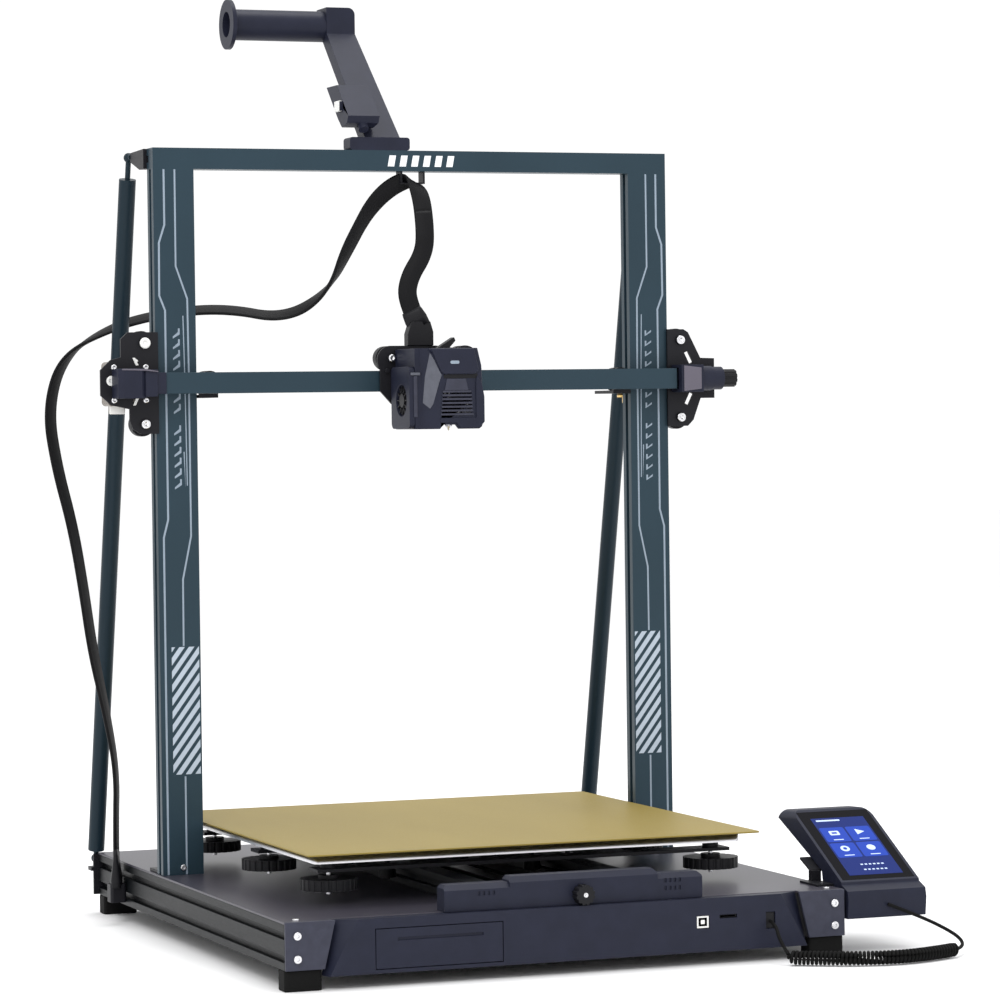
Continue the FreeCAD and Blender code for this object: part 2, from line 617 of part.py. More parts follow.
def left_plate():
    outline = [(-261.5, 479.5), (-279, 479.5), (-287, 484), (-290, 492), (-290, 503), (-308, 507),
               (-318, 516), (-318, 540), (-308, 549.5), (-298, 552), (-298, 569), (-291, 575.5),
               (-261.5, 575.5)]
    lobe = prism_xz(outline, PLATE_FRONT, PLATE_BACK)
    plate = fuse([lobe] + [mirror_x(shape) for shape in plate_neck()])
    holes = [(-283.0, 547.8, 2.4), (-284.4, 510.2, 2.4)]
    for x, z, radius in holes:
        plate = plate.cut(rod(V(x, PLATE_FRONT - 1, z), Y_AXIS, radius, PLATE_T + 2))
    return plate.cut(rod(V(X_MOTOR_X, PLATE_FRONT - 1, BEAM_Z), Y_AXIS, 11.4, PLATE_T + 2))


def right_plate():
    outline = [(261.5, 480), (283, 480), (289, 486), (297, 507.5), (312, 507.5), (312, 547),
               (297, 547.5), (284, 573), (279, 576), (261.5, 576)]
    lobe = prism_xz(outline, PLATE_FRONT, PLATE_BACK)
    plate = fuse([lobe] + plate_neck())
    for sign in (-1, 1):
        low = V(281.5, 0, BEAM_Z + 0.5 + sign * 26)
        high = V(287.0, 0, BEAM_Z + 0.5 + sign * 15)
        across = V(high.z - low.z, 0, low.x - high.x).normalize() * 2.1
        corners = [low.add(across), high.add(across), high.sub(across), low.sub(across)]
        slot = prism_xz([(p.x, p.z) for p in corners], PLATE_FRONT - 1, PLATE_BACK + 1)
        plate = plate.cut(slot)
    return plate


def z_wheels():
    wheels = []
    y = (PORTAL_FRONT + PORTAL_BACK - WHEEL_WIDTH) / 2
    spots = [(OUTER_WHEEL_X, BEAM_Z + WHEEL_REACH), (OUTER_WHEEL_X, BEAM_Z - WHEEL_REACH),
             (INNER_WHEEL_X, BEAM_Z)]
    for side in (-1, 1):
        for x, z in spots:
            wheel = rod(V(side * x, y, z), Y_AXIS, WHEEL_R, WHEEL_WIDTH)
            axle = rod(V(side * x, PLATE_BACK, z), Y_AXIS, 2.5, y - PLATE_BACK + WHEEL_WIDTH + 1)
            wheels.append(fuse([wheel, axle]))
    for x, z in ((OUTER_WHEEL_X, BEAM_Z + WHEEL_REACH), (OUTER_WHEEL_X, BEAM_Z - WHEEL_REACH)):
        wheels.append(screw_head(V(x, PLATE_FRONT, z), V(0, -1, 0), 4.6, 2.8))
    wheels.append(screw_head(V(-OUTER_WHEEL_X, PLATE_FRONT, BEAM_Z - WHEEL_REACH), V(0, -1, 0), 4.6, 2.8))
    return group(wheels)


def x_motor():
    motor = stepper(V(X_MOTOR_X, PLATE_BACK, BEAM_Z), V(0, -1, 0), 22.0, 17.0)
    socket = box(X_MOTOR_X - 16, X_MOTOR_X - 4, 84, 92, BEAM_Z - 28, BEAM_Z - 20.9)
    return group([motor, socket])


def motor_cover():
    """Cover over the drive pulley, stepped down towards the beam."""
    main = box(-307, -281, 46, PLATE_FRONT, 513, 541)
    main = main.makeChamfer(4.0, [edge for edge in main.Edges
                                  if abs(edge.CenterOfMass.y - 46) < 1e-6 and edge.Length > 27.9])
    step = box(-281, -269, 48, PLATE_FRONT, 514.5, 540)
    lip = box(-269, BEAM_LEFT, 50, PLATE_FRONT, 516.8, 537.2)
    hollow = box(-303, -271, 50.5, PLATE_FRONT + 1, 516.8, 537.2)
    passage = box(-272, BEAM_LEFT + 1, 52.5, PLATE_FRONT + 1, 518.5, 535.5)
    return fuse([main, step, lip]).cut(hollow).cut(passage)


def tension_block():
    """Sliding block at the beam's right end that holds the belt's idler."""
    block = box(265.5, 289, 46, PLATE_FRONT, 513.5, 540.5)
    block = block.cut(box(264, 288, 54.5, 69.5, 516.5, 537.5))
    start = 288.0
    sleeve = ring(V(start, TENSION_Y, BEAM_Z), X_AXIS, 12.2, SLEEVE_BORE, 302 - start)
    cap = ring(V(302, TENSION_Y, BEAM_Z), X_AXIS, 11.4, SLEEVE_BORE, 11.0)
    axle = rod(V(X_IDLER_X, 54.5, BEAM_Z), Y_AXIS, 1.5, 15)
    roller = rod(V(X_IDLER_X, PULLEY_Y - 4, BEAM_Z), Y_AXIS, PULLEY_R, 8)
    block = block.cut(rod(V(start - 1, TENSION_Y, BEAM_Z), X_AXIS, SLEEVE_BORE, 4))
    return fuse([block, sleeve, cap, axle, roller])


def x_knob():
    """Thumb nut that draws the idler outwards, and its screw."""
    wheel = rod(V(313.3, TENSION_Y, BEAM_Z), X_AXIS, 8.8, 14.4)
    for step in range(10):
        angle = math.radians(36 * step)
        groove = V(312, TENSION_Y + 9.4 * math.cos(angle), BEAM_Z + 9.4 * math.sin(angle))
        wheel = wheel.cut(rod(groove, X_AXIS, 1.5, 17))
    return fuse([wheel, rod(V(290.5, TENSION_Y, BEAM_Z), X_AXIS, SLEEVE_BORE - RUNNING_FIT, 24)])


def x_belt():
    start = V(X_MOTOR_X, PULLEY_Y - BELT_WIDTH / 2, BEAM_Z)
    end = V(X_IDLER_X, PULLEY_Y - BELT_WIDTH / 2, BEAM_Z)
    return belt_loop(start, end, PULLEY_R, BELT_T, BELT_WIDTH, Y_AXIS)


def toothed_pulley(centre, axis, width, bore):
    """Twenty-tooth belt pulley with two flanges."""
    body = ring(centre, axis, PULLEY_R - 0.05, bore, width)
    for step in range(20):
        angle = math.radians(18 * step)
        side_dir = Z_AXIS if abs(axis.z) < 0.5 else X_AXIS
        other = axis.cross(side_dir)
        tooth = centre.add(side_dir * (PULLEY_R * math.cos(angle))).add(other * (PULLEY_R * math.sin(angle)))
        body = body.cut(rod(tooth, axis, 0.45, width))
    flange = ring(centre.sub(axis * 1.2), axis, PULLEY_R + 1.9, bore, 1.2)
    far = ring(centre.add(axis * width), axis, PULLEY_R + 1.9, bore, 1.2)
    return fuse([body, flange, far])


def x_pulley():
    return toothed_pulley(V(X_MOTOR_X, PULLEY_Y - 3.6, BEAM_Z), Y_AXIS, 7.2, 2.5 + RUNNING_FIT)


def y_pulley():
    return toothed_pulley(V(-3.6, Y_PULLEY_Y, Y_SHAFT_Z), X_AXIS, 7.2, 2.5 + RUNNING_FIT)


def screw_nut(side):
    """Angle plate from the gantry plate round the inside of the upright, and the brass nut."""
    top = NUT_BRACKET_Z + 3.0
    points = [(203, PLATE_BACK), (221.7, PLATE_BACK), (221.7, 98), (246, 98), (246, 121), (203, 121)]
    bracket = prism_xy(points, NUT_BRACKET_Z, top)
    bracket = bracket.cut(rod(V(SCREW_X, SCREW_Y, NUT_BRACKET_Z - 1), Z_AXIS, 5.2, 6))
    bracket = bracket.cut(rod(V(INNER_WHEEL_X, PLATE_BACK - 1, BEAM_Z), Y_AXIS, WHEEL_R + 0.4, 22))
    flange = ring(V(SCREW_X, SCREW_Y, NUT_BRACKET_Z - 3.5), Z_AXIS, 10.5, SCREW_R + RUNNING_FIT, 3.5)
    barrel = ring(V(SCREW_X, SCREW_Y, NUT_BRACKET_Z - 9), Z_AXIS, 5.2, SCREW_R + RUNNING_FIT, 12)
    nut = fuse([flange, barrel])
    shapes = [bracket, nut]
    return shapes if side > 0 else [mirror_x(shape) for shape in shapes]


def screw_nuts():
    return group(screw_nut(-1) + screw_nut(1))


def lead_screw(side):
    """Trapezoidal screw with its flexible coupling."""
    x = side * SCREW_X
    coupling_top = 87.0
    screw = rod(V(x, SCREW_Y, coupling_top), Z_AXIS, SCREW_R, 740 - coupling_top)
    coupling = rod(V(x, SCREW_Y, 62), Z_AXIS, 9.5, coupling_top - 62)
    for step in range(4):
        coupling = coupling.cut(ring(V(x, SCREW_Y, 68 + step * 3.4), Z_AXIS, 10, 6.5, 1.1))
    return group([screw, coupling])


# ---------------------------------------------------------------- print head

def hexagon_nut(x, z, radius, y0, y1):
    corners = []
    for step in range(6):
        angle = math.radians(60 * step)
        corners.append((x + radius * math.cos(angle), z + radius * math.sin(angle)))
    return prism_xz(corners, y0, y1)


def head_plate():
    """Plate in front of the beam with a rounded ear over each upper wheel."""
    y0 = HEAD_PLATE_FRONT
    wide = HEAD_WHEEL_X + 11
    outline = [(-wide, 543), (-wide, 517), (-HEAD_WHEEL_X, 505), (-14, 492), (14, 492),
               (HEAD_WHEEL_X, 505), (wide, 517), (wide, 543), (HEAD_WHEEL_X, 557), (8, 560.8),
               (-HEAD_WHEEL_X, 560.8)]
    plate = prism_xz(outline, y0, y0 + HEAD_PLATE_T)
    ears = [rod(V(side * HEAD_WHEEL_X, y0, 547), Y_AXIS, 13.8, HEAD_PLATE_T) for side in (-1, 1)]
    nuts = [hexagon_nut(-38.6, 549, 4.0, y0 - 3.5, y0), hexagon_nut(-42.5, 537, 2.6, y0 - 3.0, y0)]
    return group([fuse([plate] + ears)] + nuts)


def head_wheels():
    wheels = []
    y = BEAM_FRONT + (PROFILE - WHEEL_WIDTH) / 2
    reach = PROFILE / 2 + WHEEL_GAP + WHEEL_R
    for x, z in ((-HEAD_WHEEL_X, BEAM_Z + reach), (HEAD_WHEEL_X, BEAM_Z + reach), (0, BEAM_Z - reach)):
        wheel = rod(V(x, y, z), Y_AXIS, WHEEL_R, WHEEL_WIDTH)
        back = HEAD_PLATE_FRONT + HEAD_PLATE_T
        axle = rod(V(x, back, z), Y_AXIS, 2.5, y - back + WHEEL_WIDTH + 1)
        wheels.append(fuse([wheel, axle]))
    return group(wheels)


SHROUD_WALL = 2.2


def head_shroud():
    """Front cover of the head: badge panel above, louvred panel below, slanted left corner."""
    left, right, front = HEAD_LEFT, HEAD_RIGHT, HEAD_FRONT
    wall = SHROUD_WALL
    plan = [(left, 45.5), (left, -10), (-28, -10), (-14, front), (28, front), (right, -18), (right, 45.5)]
    inner = [(left + wall, 46), (left + wall, -10 + wall), (-27, -10 + wall), (-13, front + wall),
             (27, front + wall), (right - wall, -17), (right - wall, 46)]
    body = prism_xy(plan, HEAD_BOTTOM, HEAD_TOP).cut(prism_xy(inner, HEAD_BOTTOM - 1, HEAD_TOP - wall))
    for step in range(6):
        z = 495.5 + step * 3.6
        body = body.cut(box(-11, 18, front - 1, front + wall + 1, z, z + 1.4))
    top_corner = prism_xz([(24, HEAD_TOP + 1), (40, HEAD_TOP + 1), (40, 528), (31, 528)], -40, 60)
    low = HEAD_BOTTOM - 1
    low_corner = prism_xz([(24, low), (40, low), (40, low + 12)], -40, 60)
    arch = prism_xz([(-15, low), (5, low), (1, low + 5), (-11, low + 5)], -40, 60)
    return body.cut(top_corner).cut(low_corner).cut(arch)


def blower():
    """Part-cooling blower on the head's left: scroll case with its intake."""
    case = box(-39.5, HEAD_LEFT - 0.2, -10, 43, HEAD_BOTTOM + 0.5, 540)
    case = round_edges(case, 6.0, X_AXIS)
    return case.cut(rod(V(-40.5, INTAKE_Y, INTAKE_Z), X_AXIS, 15.0, 5.0))


def blower_rotor():
    """Bladed wheel in the blower's intake."""
    hub = rod(V(-39.0, INTAKE_Y, INTAKE_Z), X_AXIS, 6.6, 2.8)
    disc = rod(V(-37.0, INTAKE_Y, INTAKE_Z), X_AXIS, 14.0, 0.8)
    blades = []
    for step in range(12):
        blade = box(-38.8, -36.6, INTAKE_Y - 0.5, INTAKE_Y + 0.5, INTAKE_Z + 8, INTAKE_Z + 13.8)
        blade.rotate(V(-38, INTAKE_Y, INTAKE_Z), X_AXIS, 30 * step)
        blades.append(blade)
    return fuse([hub, disc] + blades)


def hotend():
    """Extruder body, finned heat sink, heater block and nozzle."""
    x, y = NOZZLE_X, NOZZLE_Y
    extruder = box(x - 22, x + 22, y - 16, 42, 522, 550)
    core = rod(V(x, y, 496), Z_AXIS, 4.0, 27)
    fins = [rod(V(x, y, 502 + step * 3.2), Z_AXIS, 11.0, 1.4) for step in range(6)]
    block = box(x - 8, x + 12, y - 9, y + 9, 486, 497)
    nozzle = Part.makeCone(0.9, 3.4, 4.0, V(x, y, NOZZLE_TIP), Z_AXIS)
    hexagon = rod(V(x, y, NOZZLE_TIP + 4), Z_AXIS, 3.6, 4)
    return fuse([extruder, core, block, nozzle, hexagon] + fins)


def head_fan():
    """Axial fan blades behind the louvres."""
    hub = rod(V(FAN_X, -19.4, FAN_Z), Y_AXIS, 6.0, 6.0)
    blades = []
    for step in range(7):
        blade = box(FAN_X - 0.8, FAN_X + 0.8, -18.8, -14.2, FAN_Z + 5, FAN_Z + 13.5)
        blade.rotate(V(FAN_X, -17, FAN_Z), Y_AXIS, 360.0 / 7 * step)
        blades.append(blade)
    return fuse([hub] + blades)


def cable_clamp():
    """Riser on the head plate that grips the flat cable, with a small clip beside it."""
    riser = prism_xz([(-21, 560.8), (-21, 572), (-17, 584), (2, 584), (5, 574), (5, 560.8)], 44, 56)
    clip = prism_xz([(3, HEAD_TOP), (8, 560.5), (21, 568.5), (22.5, 565), (15, HEAD_TOP)], 30, 40)
    return group([riser, clip])


# ---------------------------------------------------------------- controls

def rocker():
    """Mains rocker, hinged at its middle and lying with one side in."""
    key = prism_yz([(301.5, INLET_Z - 5.8), (306.8, INLET_Z - 5.8), (308.2, INLET_Z), (309.4, INLET_Z + 5.8),
                    (301.5, INLET_Z + 5.8)], ROCKER_X - 9, ROCKER_X + 9)
    return key.fuse(rod(V(ROCKER_X - 10.4, 302.5, INLET_Z), X_AXIS, 1.8, 20.8))


def tool_drawer():
    """Open tray behind a panel in the fascia, with a finger groove along its top."""
    wall = 2.0
    tray = box(DRAWER_X0 + 1, DRAWER_X1 - 1, FASCIA_FRONT + 2, DRAWER_BACK, DRAWER_FLOOR, DRAWER_Z1 - 1.5)
    tray = tray.cut(box(DRAWER_X0 + 1 + wall, DRAWER_X1 - 1 - wall, FASCIA_FRONT + 4, DRAWER_BACK - wall,
                        DRAWER_FLOOR + wall, DRAWER_Z1))
    panel = box(DRAWER_X0, DRAWER_X1, FASCIA_FRONT, FASCIA_FRONT + 4, DRAWER_Z0, DRAWER_Z1)
    panel = panel.cut(box(DRAWER_X0 + 20, DRAWER_X1 - 18, FASCIA_FRONT - 1, FASCIA_FRONT + 1.6, 40, 42.5))
    return fuse([tray, panel])


SCREEN_FACE = [(-297.0, 65.0), (-192.0, 121.0)]


def screen_directions():
    """Up the display face, and straight out of it."""
    (low_y, low_z), (high_y, high_z) = SCREEN_FACE
    along = V(0, high_y - low_y, high_z - low_z).normalize()
    return along, V(0, -along.z, along.y)


def screen_case():
    """Wedge-shaped hand-held display, face leaning back, with a chin below."""
    outline = [(-297, 65), (-192, 121), (-168, 120), (-163, 112), (-256, 72), (-262, 46), (-264, 33),
               (-302, 33), (-304, 38)]
    along, normal = screen_directions()
    case = prism_yz(outline, SCREEN_X0, SCREEN_X1)
    top_edges = [edge for edge in case.Edges
                 if edge.CenterOfMass.z > 120 and abs(edge.CenterOfMass.y + 180) < 1e-6]
    chin = prism_yz([(-297, 63), (-310, 58), (-312, 50), (-310, 33), (-270, 33), (-270, 60)],
                    SCREEN_X0, SCREEN_X1)
    case = fuse([case.makeFillet(8.0, top_edges), chin])
    corner = V(SCREEN_X0 + 3, SCREEN_FACE[0][0], SCREEN_FACE[0][1]).add(along * 3)
    wide = SCREEN_X1 - SCREEN_X0 - 6
    long = 112.0
    wire = Part.makePolygon([corner, corner.add(X_AXIS * wide), corner.add(X_AXIS * wide).add(along * long),
                             corner.add(along * long), corner])
    return case.cut(Part.Face(wire).extrude(normal * -1.5))


def screen_glass():
    along, normal = screen_directions()
    corner = V(SCREEN_X0 + 3.2, SCREEN_FACE[0][0], SCREEN_FACE[0][1]).add(along * 3.2).sub(normal * 1.5)
    wide = SCREEN_X1 - SCREEN_X0 - 6.4
    long = 111.6
    wire = Part.makePolygon([corner, corner.add(X_AXIS * wide), corner.add(X_AXIS * wide).add(along * long),
                             corner.add(along * long), corner])
    return Part.Face(wire).extrude(normal * 1.5)


def screen_bracket():
    """Sheet bracket on the right rail whose sloping tongue carries the screen."""
    foot_plate = box(250, 267, -282, -246, DECK_TOP, DECK_TOP + SHEET)
    riser = box(258, 267, -256, -248, DECK_TOP, 72)
    along = V(0, 0.919, 0.395)
    origin = V(258, -252.0, 72.4)
    across = X_AXIS * 74
    up_case = along * 24
    points = [origin, origin.add(across), origin.add(across).add(up_case), origin.add(up_case), origin]
    tongue = Part.Face(Part.makePolygon(points)).extrude(V(0, 0.79, -1.84))
    return fuse([foot_plate, riser, tongue])


# ---------------------------------------------------------------- cords

def cord_tube(points, radius, name):
    """Straight runs joined by tangent arcs; each arc takes a share of the shorter run."""
    pieces = []
    start = points[0]
    smallest = None
    for before, corner, after in zip(points, points[1:], points[2:]):
        into = corner.sub(before)
        out = after.sub(corner)
        turn = into.getAngle(out)
        reach = BEND_SHARE * min(into.Length, out.Length)
        bend = reach / math.tan(turn / 2)
        smallest = bend if smallest is None else min(smallest, bend)
        first = corner.sub(V(into).normalize() * reach)
        last = corner.add(V(out).normalize() * reach)
        inward = V(out).normalize().sub(V(into).normalize()).normalize()
        middle = corner.add(inward * (bend / math.cos(turn / 2) - bend))
        pieces.append(Part.LineSegment(start, first).toShape())
        pieces.append(Part.Arc(first, middle, last).toShape())
        start = last
    pieces.append(Part.LineSegment(start, points[-1]).toShape())
    path = Part.Wire(pieces)
    heading = points[1].sub(points[0])
    profile = Part.Wire(Part.makeCircle(radius, points[0], heading))
    tube = path.makePipeShell([profile], True, False)
    length = path.Length
    share = tube.Volume / (math.pi * radius * radius * length)
    print(name, "length", round(length), "smallest bend", round(smallest, 1), "volume share", round(share, 3))
    return tube


MAIN_CABLE = [V(-273, 208, 40), V(-273, 208, 95), V(-271, 208, 150), V(-281, 209, 210), V(-293, 210, 268),
              V(-301, 210, 328), V(-311, 210, 390), V(-326, 210, 448), V(-334, 211, 505), V(-318, 211, 556),
              V(-270, 209, 584), V(-220, 196, 597), V(-165, 170, 601), V(-112, 145, 589), V(-75, 120, 615),
              V(-58, 104, 662), V(-35, 95, 704), V(-6, 86, 724.8)]
HEAD_CABLE_UPPER = [V(-6, 86, 724.8), V(1.5, 66, 712), V(1, 58, 690)]
HEAD_CABLE_LOWER = [V(1, 58, 690), V(0.55, 50.8, 670.2), V(-2, 50, 649), V(-17, 51, 626), V(-20, 51, 604),
                    V(-8, 50, 581)]
SCREEN_LEAD = [V(190, -312, 36), V(190, -324, 33), V(188, -334, 22), V(192, -344, 10)]
COIL_ROUTE = [V(192, -344, 7.2), V(214, -358, 7.2), V(246, -376, 7.2), V(281, -384, 7.2), V(316, -377, 7.2),
              V(350, -361, 7.2)]
SCREEN_TAIL = [V(350, -361, 7.2), V(364, -350, 7.2), V(368, -334, 14), V(352, -322, 25), V(328, -318, 36),
               V(306, -313.9, 45)]


def cable_outlet():
    """Moulded outlet on the left rail that the flat cable leaves upwards."""
    outlet = box(-281, -HALF_WIDTH, 200, 216, 22, 40)
    return round_edges(outlet, 3.0, Z_AXIS)


def save(name, shape):
    moved = shape.copy()
    moved.translate(CENTRE_SHIFT)
    moved.exportStep("parts/" + name + ".step")
    bad = [index for index, solid in enumerate(moved.Solids) if not solid.isValid()]
    size = moved.BoundBox
    print("%-18s solids %2d %s x %.1f..%.1f y %.1f..%.1f z %.1f..%.1f" % (
        name, len(moved.Solids), "BAD" if bad or not moved.Solids else "ok", size.XMin, size.XMax,
        size.YMin, size.YMax, size.ZMin, size.ZMax))


def both(maker):
    return group([maker(-1), maker(1)])


def all_parts():
    nodes = {
        "base_rails": group([side_rail(-1), side_rail(1), y_rail(-1), y_rail(1)]),
        "deck_plate": deck(),
        "base_tray": base_tray(),
        "end_plates": both(end_plate),
        "frame_screws": frame_screws(),
        "feet": group([foot(x, y) for x in (-1, 1) for y in (-1, 1)]),
        "front_fascia": fascia(),
        "ports": ports(),
        "belt_tensioner": tensioner(),
        "tension_knob_y": y_knob(),
        "base_motors": base_motors(),
        "electronics": electronics(),
        "bed_belt": y_belt(),
        "bed_pulley": y_pulley(),
        "portal_frame": group([upright(-1), upright(1), top_bar()]),
        "frame_brackets": frame_brackets(),
        "braces": both(brace),
        "spool_holder": group([spool_arm(), spool_tube()]),
        "filament_sensor": filament_sensor(),
        "bed_carriage": bed_carriage(),
        "bed_wheels": bed_wheels(),
        "bed_plate": bed_plate(),
        "print_sheet": print_sheet(),
        "x_beam": x_beam(),
        "gantry_plates": group([left_plate(), right_plate()]),
        "gantry_wheels": z_wheels(),
        "x_motor": x_motor(),
        "motor_cover": motor_cover(),
        "tension_block": tension_block(),
        "tension_knob_x": x_knob(),
        "x_belt": x_belt(),
        "x_pulley": x_pulley(),
        "screw_nuts": screw_nuts(),
        "lead_screw_left": lead_screw(-1),
        "lead_screw_right": lead_screw(1),
        "head_plate": head_plate(),
        "head_wheels": head_wheels(),
        "head_shroud": head_shroud(),
        "blower_case": blower(),
        "blower_rotor": blower_rotor(),
        "hotend": hotend(),
        "head_fan": head_fan(),
        "cable_clamp": cable_clamp(),
        "power_rocker": rocker(),
        "tool_drawer": tool_drawer(),
        "screen_case": screen_case(),
        "screen_glass": screen_glass(),
        "screen_bracket": group([screen_bracket(), cable_outlet()]),
        "main_cable": cord_tube(MAIN_CABLE, CABLE_R, "main_cable"),
        "head_cable_upper": cord_tube(HEAD_CABLE_UPPER, CABLE_R, "head_cable_upper"),
        "head_cable_lower": cord_tube(HEAD_CABLE_LOWER, CABLE_R, "head_cable_lower"),
        "screen_lead": cord_tube(SCREEN_LEAD, SCREEN_CORD_R, "screen_lead"),
        "screen_coil": cord_tube(COIL_ROUTE, COIL_R, "screen_coil"),
        "screen_tail": cord_tube(SCREEN_TAIL, SCREEN_CORD_R, "screen_tail"),
    }
    for side, side_name in ((-1, "left"), (1, "right")):
        for place, y in KNOB_Y.items():
            nodes["knob_%s_%s" % (side_name, place)] = bed_knob(side, y)
    return nodes


for node_name, node_shape in all_parts().items():
    save(node_name, node_shape)
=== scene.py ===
import bpy
import bmesh
import json
import math
from mathutils import Matrix, Vector


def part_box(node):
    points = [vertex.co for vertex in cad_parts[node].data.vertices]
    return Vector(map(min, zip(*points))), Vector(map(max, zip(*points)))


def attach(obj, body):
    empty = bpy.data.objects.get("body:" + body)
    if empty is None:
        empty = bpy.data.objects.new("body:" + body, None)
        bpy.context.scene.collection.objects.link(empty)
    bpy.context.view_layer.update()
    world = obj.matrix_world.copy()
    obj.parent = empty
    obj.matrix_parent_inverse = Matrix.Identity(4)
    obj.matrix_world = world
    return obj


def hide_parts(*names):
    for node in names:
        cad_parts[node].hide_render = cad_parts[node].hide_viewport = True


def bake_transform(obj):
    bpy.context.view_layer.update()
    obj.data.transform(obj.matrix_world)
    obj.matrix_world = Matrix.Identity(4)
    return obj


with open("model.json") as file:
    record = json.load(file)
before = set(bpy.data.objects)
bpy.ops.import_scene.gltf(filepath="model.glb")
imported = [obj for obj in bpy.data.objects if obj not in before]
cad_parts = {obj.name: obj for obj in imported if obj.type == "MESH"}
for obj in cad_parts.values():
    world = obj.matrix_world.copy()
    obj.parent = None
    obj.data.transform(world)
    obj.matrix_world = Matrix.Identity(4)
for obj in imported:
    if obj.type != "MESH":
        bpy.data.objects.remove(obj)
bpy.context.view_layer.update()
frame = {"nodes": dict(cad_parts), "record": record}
MM = 0.001
NODE_BODY = {node: body for body, nodes in frame["record"]["behaviour"]["bodies"].items() for node in nodes}
SLOT_OF = {entry["node"]: entry["material_slot"] for entry in frame["record"]["subparts"]}
FRONT = (0, -1, 0)
BEAM_HEIGHT = 0.527             # axis of the beam above the floor, at rest


# ------------------------------------------------------------------ camera, floor and light

CAMERA_AT = Vector((-1.29549, -3.51277, 0.49027))
CAMERA_RIGHT = Vector((0.93444, -0.35587, -0.01316))
CAMERA_UP = Vector((0.01973, 0.01484, 0.99970))
CAMERA_LENS = 141.41


def add_camera():
    data = bpy.data.cameras.new("camera")
    data.lens = CAMERA_LENS
    data.sensor_width = 36
    data.clip_end = 40
    camera = bpy.data.objects.new("camera", data)
    back = CAMERA_RIGHT.cross(CAMERA_UP)
    turn = Matrix((CAMERA_RIGHT, CAMERA_UP, back)).transposed()
    camera.matrix_world = Matrix.Translation(CAMERA_AT) @ turn.to_4x4()
    bpy.context.scene.collection.objects.link(camera)
    bpy.context.scene.camera = camera


def add_light(name, at, aim, size, watts):
    data = bpy.data.lights.new(name, "AREA")
    data.shape = "RECTANGLE"
    data.size, data.size_y = size
    data.energy = watts
    light = bpy.data.objects.new(name, data)
    light.location = at
    light.rotation_euler = (Vector(aim) - Vector(at)).to_track_quat("-Z", "Y").to_euler()
    bpy.context.scene.collection.objects.link(light)


def add_stage():
    """A plain pale floor, an even white sky and three soft lamps."""
    mesh = bpy.data.meshes.new("floor")
    reach = 14
    mesh.from_pydata([(-reach, -reach, 0), (reach, -reach, 0), (reach, reach, 0), (-reach, reach, 0)],
                     [], [(0, 1, 2, 3)])
    floor = bpy.data.objects.new("floor", mesh)
    bpy.context.scene.collection.objects.link(floor)
    floor.data.materials.append(FLOOR)
    world = bpy.data.worlds.new("studio")
    bpy.context.scene.world = world
    world.use_nodes = True
    shade = world.node_tree.nodes["Background"]
    shade.inputs["Color"].default_value = (1.0, 1.0, 1.0, 1)
    shade.inputs["Strength"].default_value = 1.05
    bpy.context.scene.view_settings.view_transform = "Standard"
    add_light("key", (-2.2, -2.8, 3.0), (0, 0, 0.35), (1.6, 1.4), 50)
    add_light("fill", (3.0, -2.2, 1.8), (0, 0, 0.4), (2.0, 2.4), 12)
    add_light("top", (0.2, 0.4, 3.4), (0, 0, 0.2), (1.8, 1.6), 45)


# ------------------------------------------------------------------ materials

def shader(name, colour, roughness, metallic=0.0, specular=0.5):
    """A material with one surface shader, whose plain values are set on its own sockets."""
    material = bpy.data.materials.new(name)
    material.use_nodes = True
    surface = material.node_tree.nodes["Principled BSDF"]
    surface.inputs["Base Color"].default_value = (*colour, 1)
    surface.inputs["Roughness"].default_value = roughness
    surface.inputs["Metallic"].default_value = metallic
    surface.inputs["Specular IOR Level"].default_value = specular
    return material, material.node_tree, surface


def node(tree, kind, **values):
    """Adds a shader node and sets its inputs or its properties by name."""
    made = tree.nodes.new(kind)
    for key, value in values.items():
        if key in made.inputs:
            made.inputs[key].default_value = value
        else:
            setattr(made, key, value)
    return made


def mottle(tree, surface, colour, spread, scale, stretch=(1, 1, 1)):
    """Slow colour drift over a surface, in object space."""
    place = node(tree, "ShaderNodeTexCoord")
    mapping = node(tree, "ShaderNodeMapping")
    mapping.inputs["Scale"].default_value = stretch
    tree.links.new(place.outputs["Object"], mapping.inputs["Vector"])
    cloud = node(tree, "ShaderNodeTexNoise", Scale=scale, Detail=4.0)
    tree.links.new(mapping.outputs[0], cloud.inputs["Vector"])
    ramp = node(tree, "ShaderNodeValToRGB")
    ramp.color_ramp.elements[0].position = 0.3
    ramp.color_ramp.elements[1].position = 0.7
    ramp.color_ramp.elements[0].color = (*[c * (1 - spread) for c in colour], 1)
    ramp.color_ramp.elements[1].color = (*[min(1, c * (1 + spread)) for c in colour], 1)
    tree.links.new(cloud.outputs["Fac"], ramp.inputs["Fac"])
    tree.links.new(ramp.outputs["Color"], surface.inputs["Base Color"])
    return mapping


def grain(tree, surface, mapping, scale, height, strength=0.5, rough=None):
    """Fine bump, and a roughness that wanders with it."""
    fine = node(tree, "ShaderNodeTexNoise", Scale=scale, Detail=3.0)
    tree.links.new(mapping.outputs[0], fine.inputs["Vector"])
    bump = node(tree, "ShaderNodeBump", Strength=strength, Distance=height)
    tree.links.new(fine.outputs["Fac"], bump.inputs["Height"])
    tree.links.new(bump.outputs["Normal"], surface.inputs["Normal"])
    if rough:
        span = node(tree, "ShaderNodeMapRange")
        span.inputs["To Min"].default_value = rough[0]
        span.inputs["To Max"].default_value = rough[1]
        tree.links.new(fine.outputs["Fac"], span.inputs["Value"])
        tree.links.new(span.outputs["Result"], surface.inputs["Roughness"])


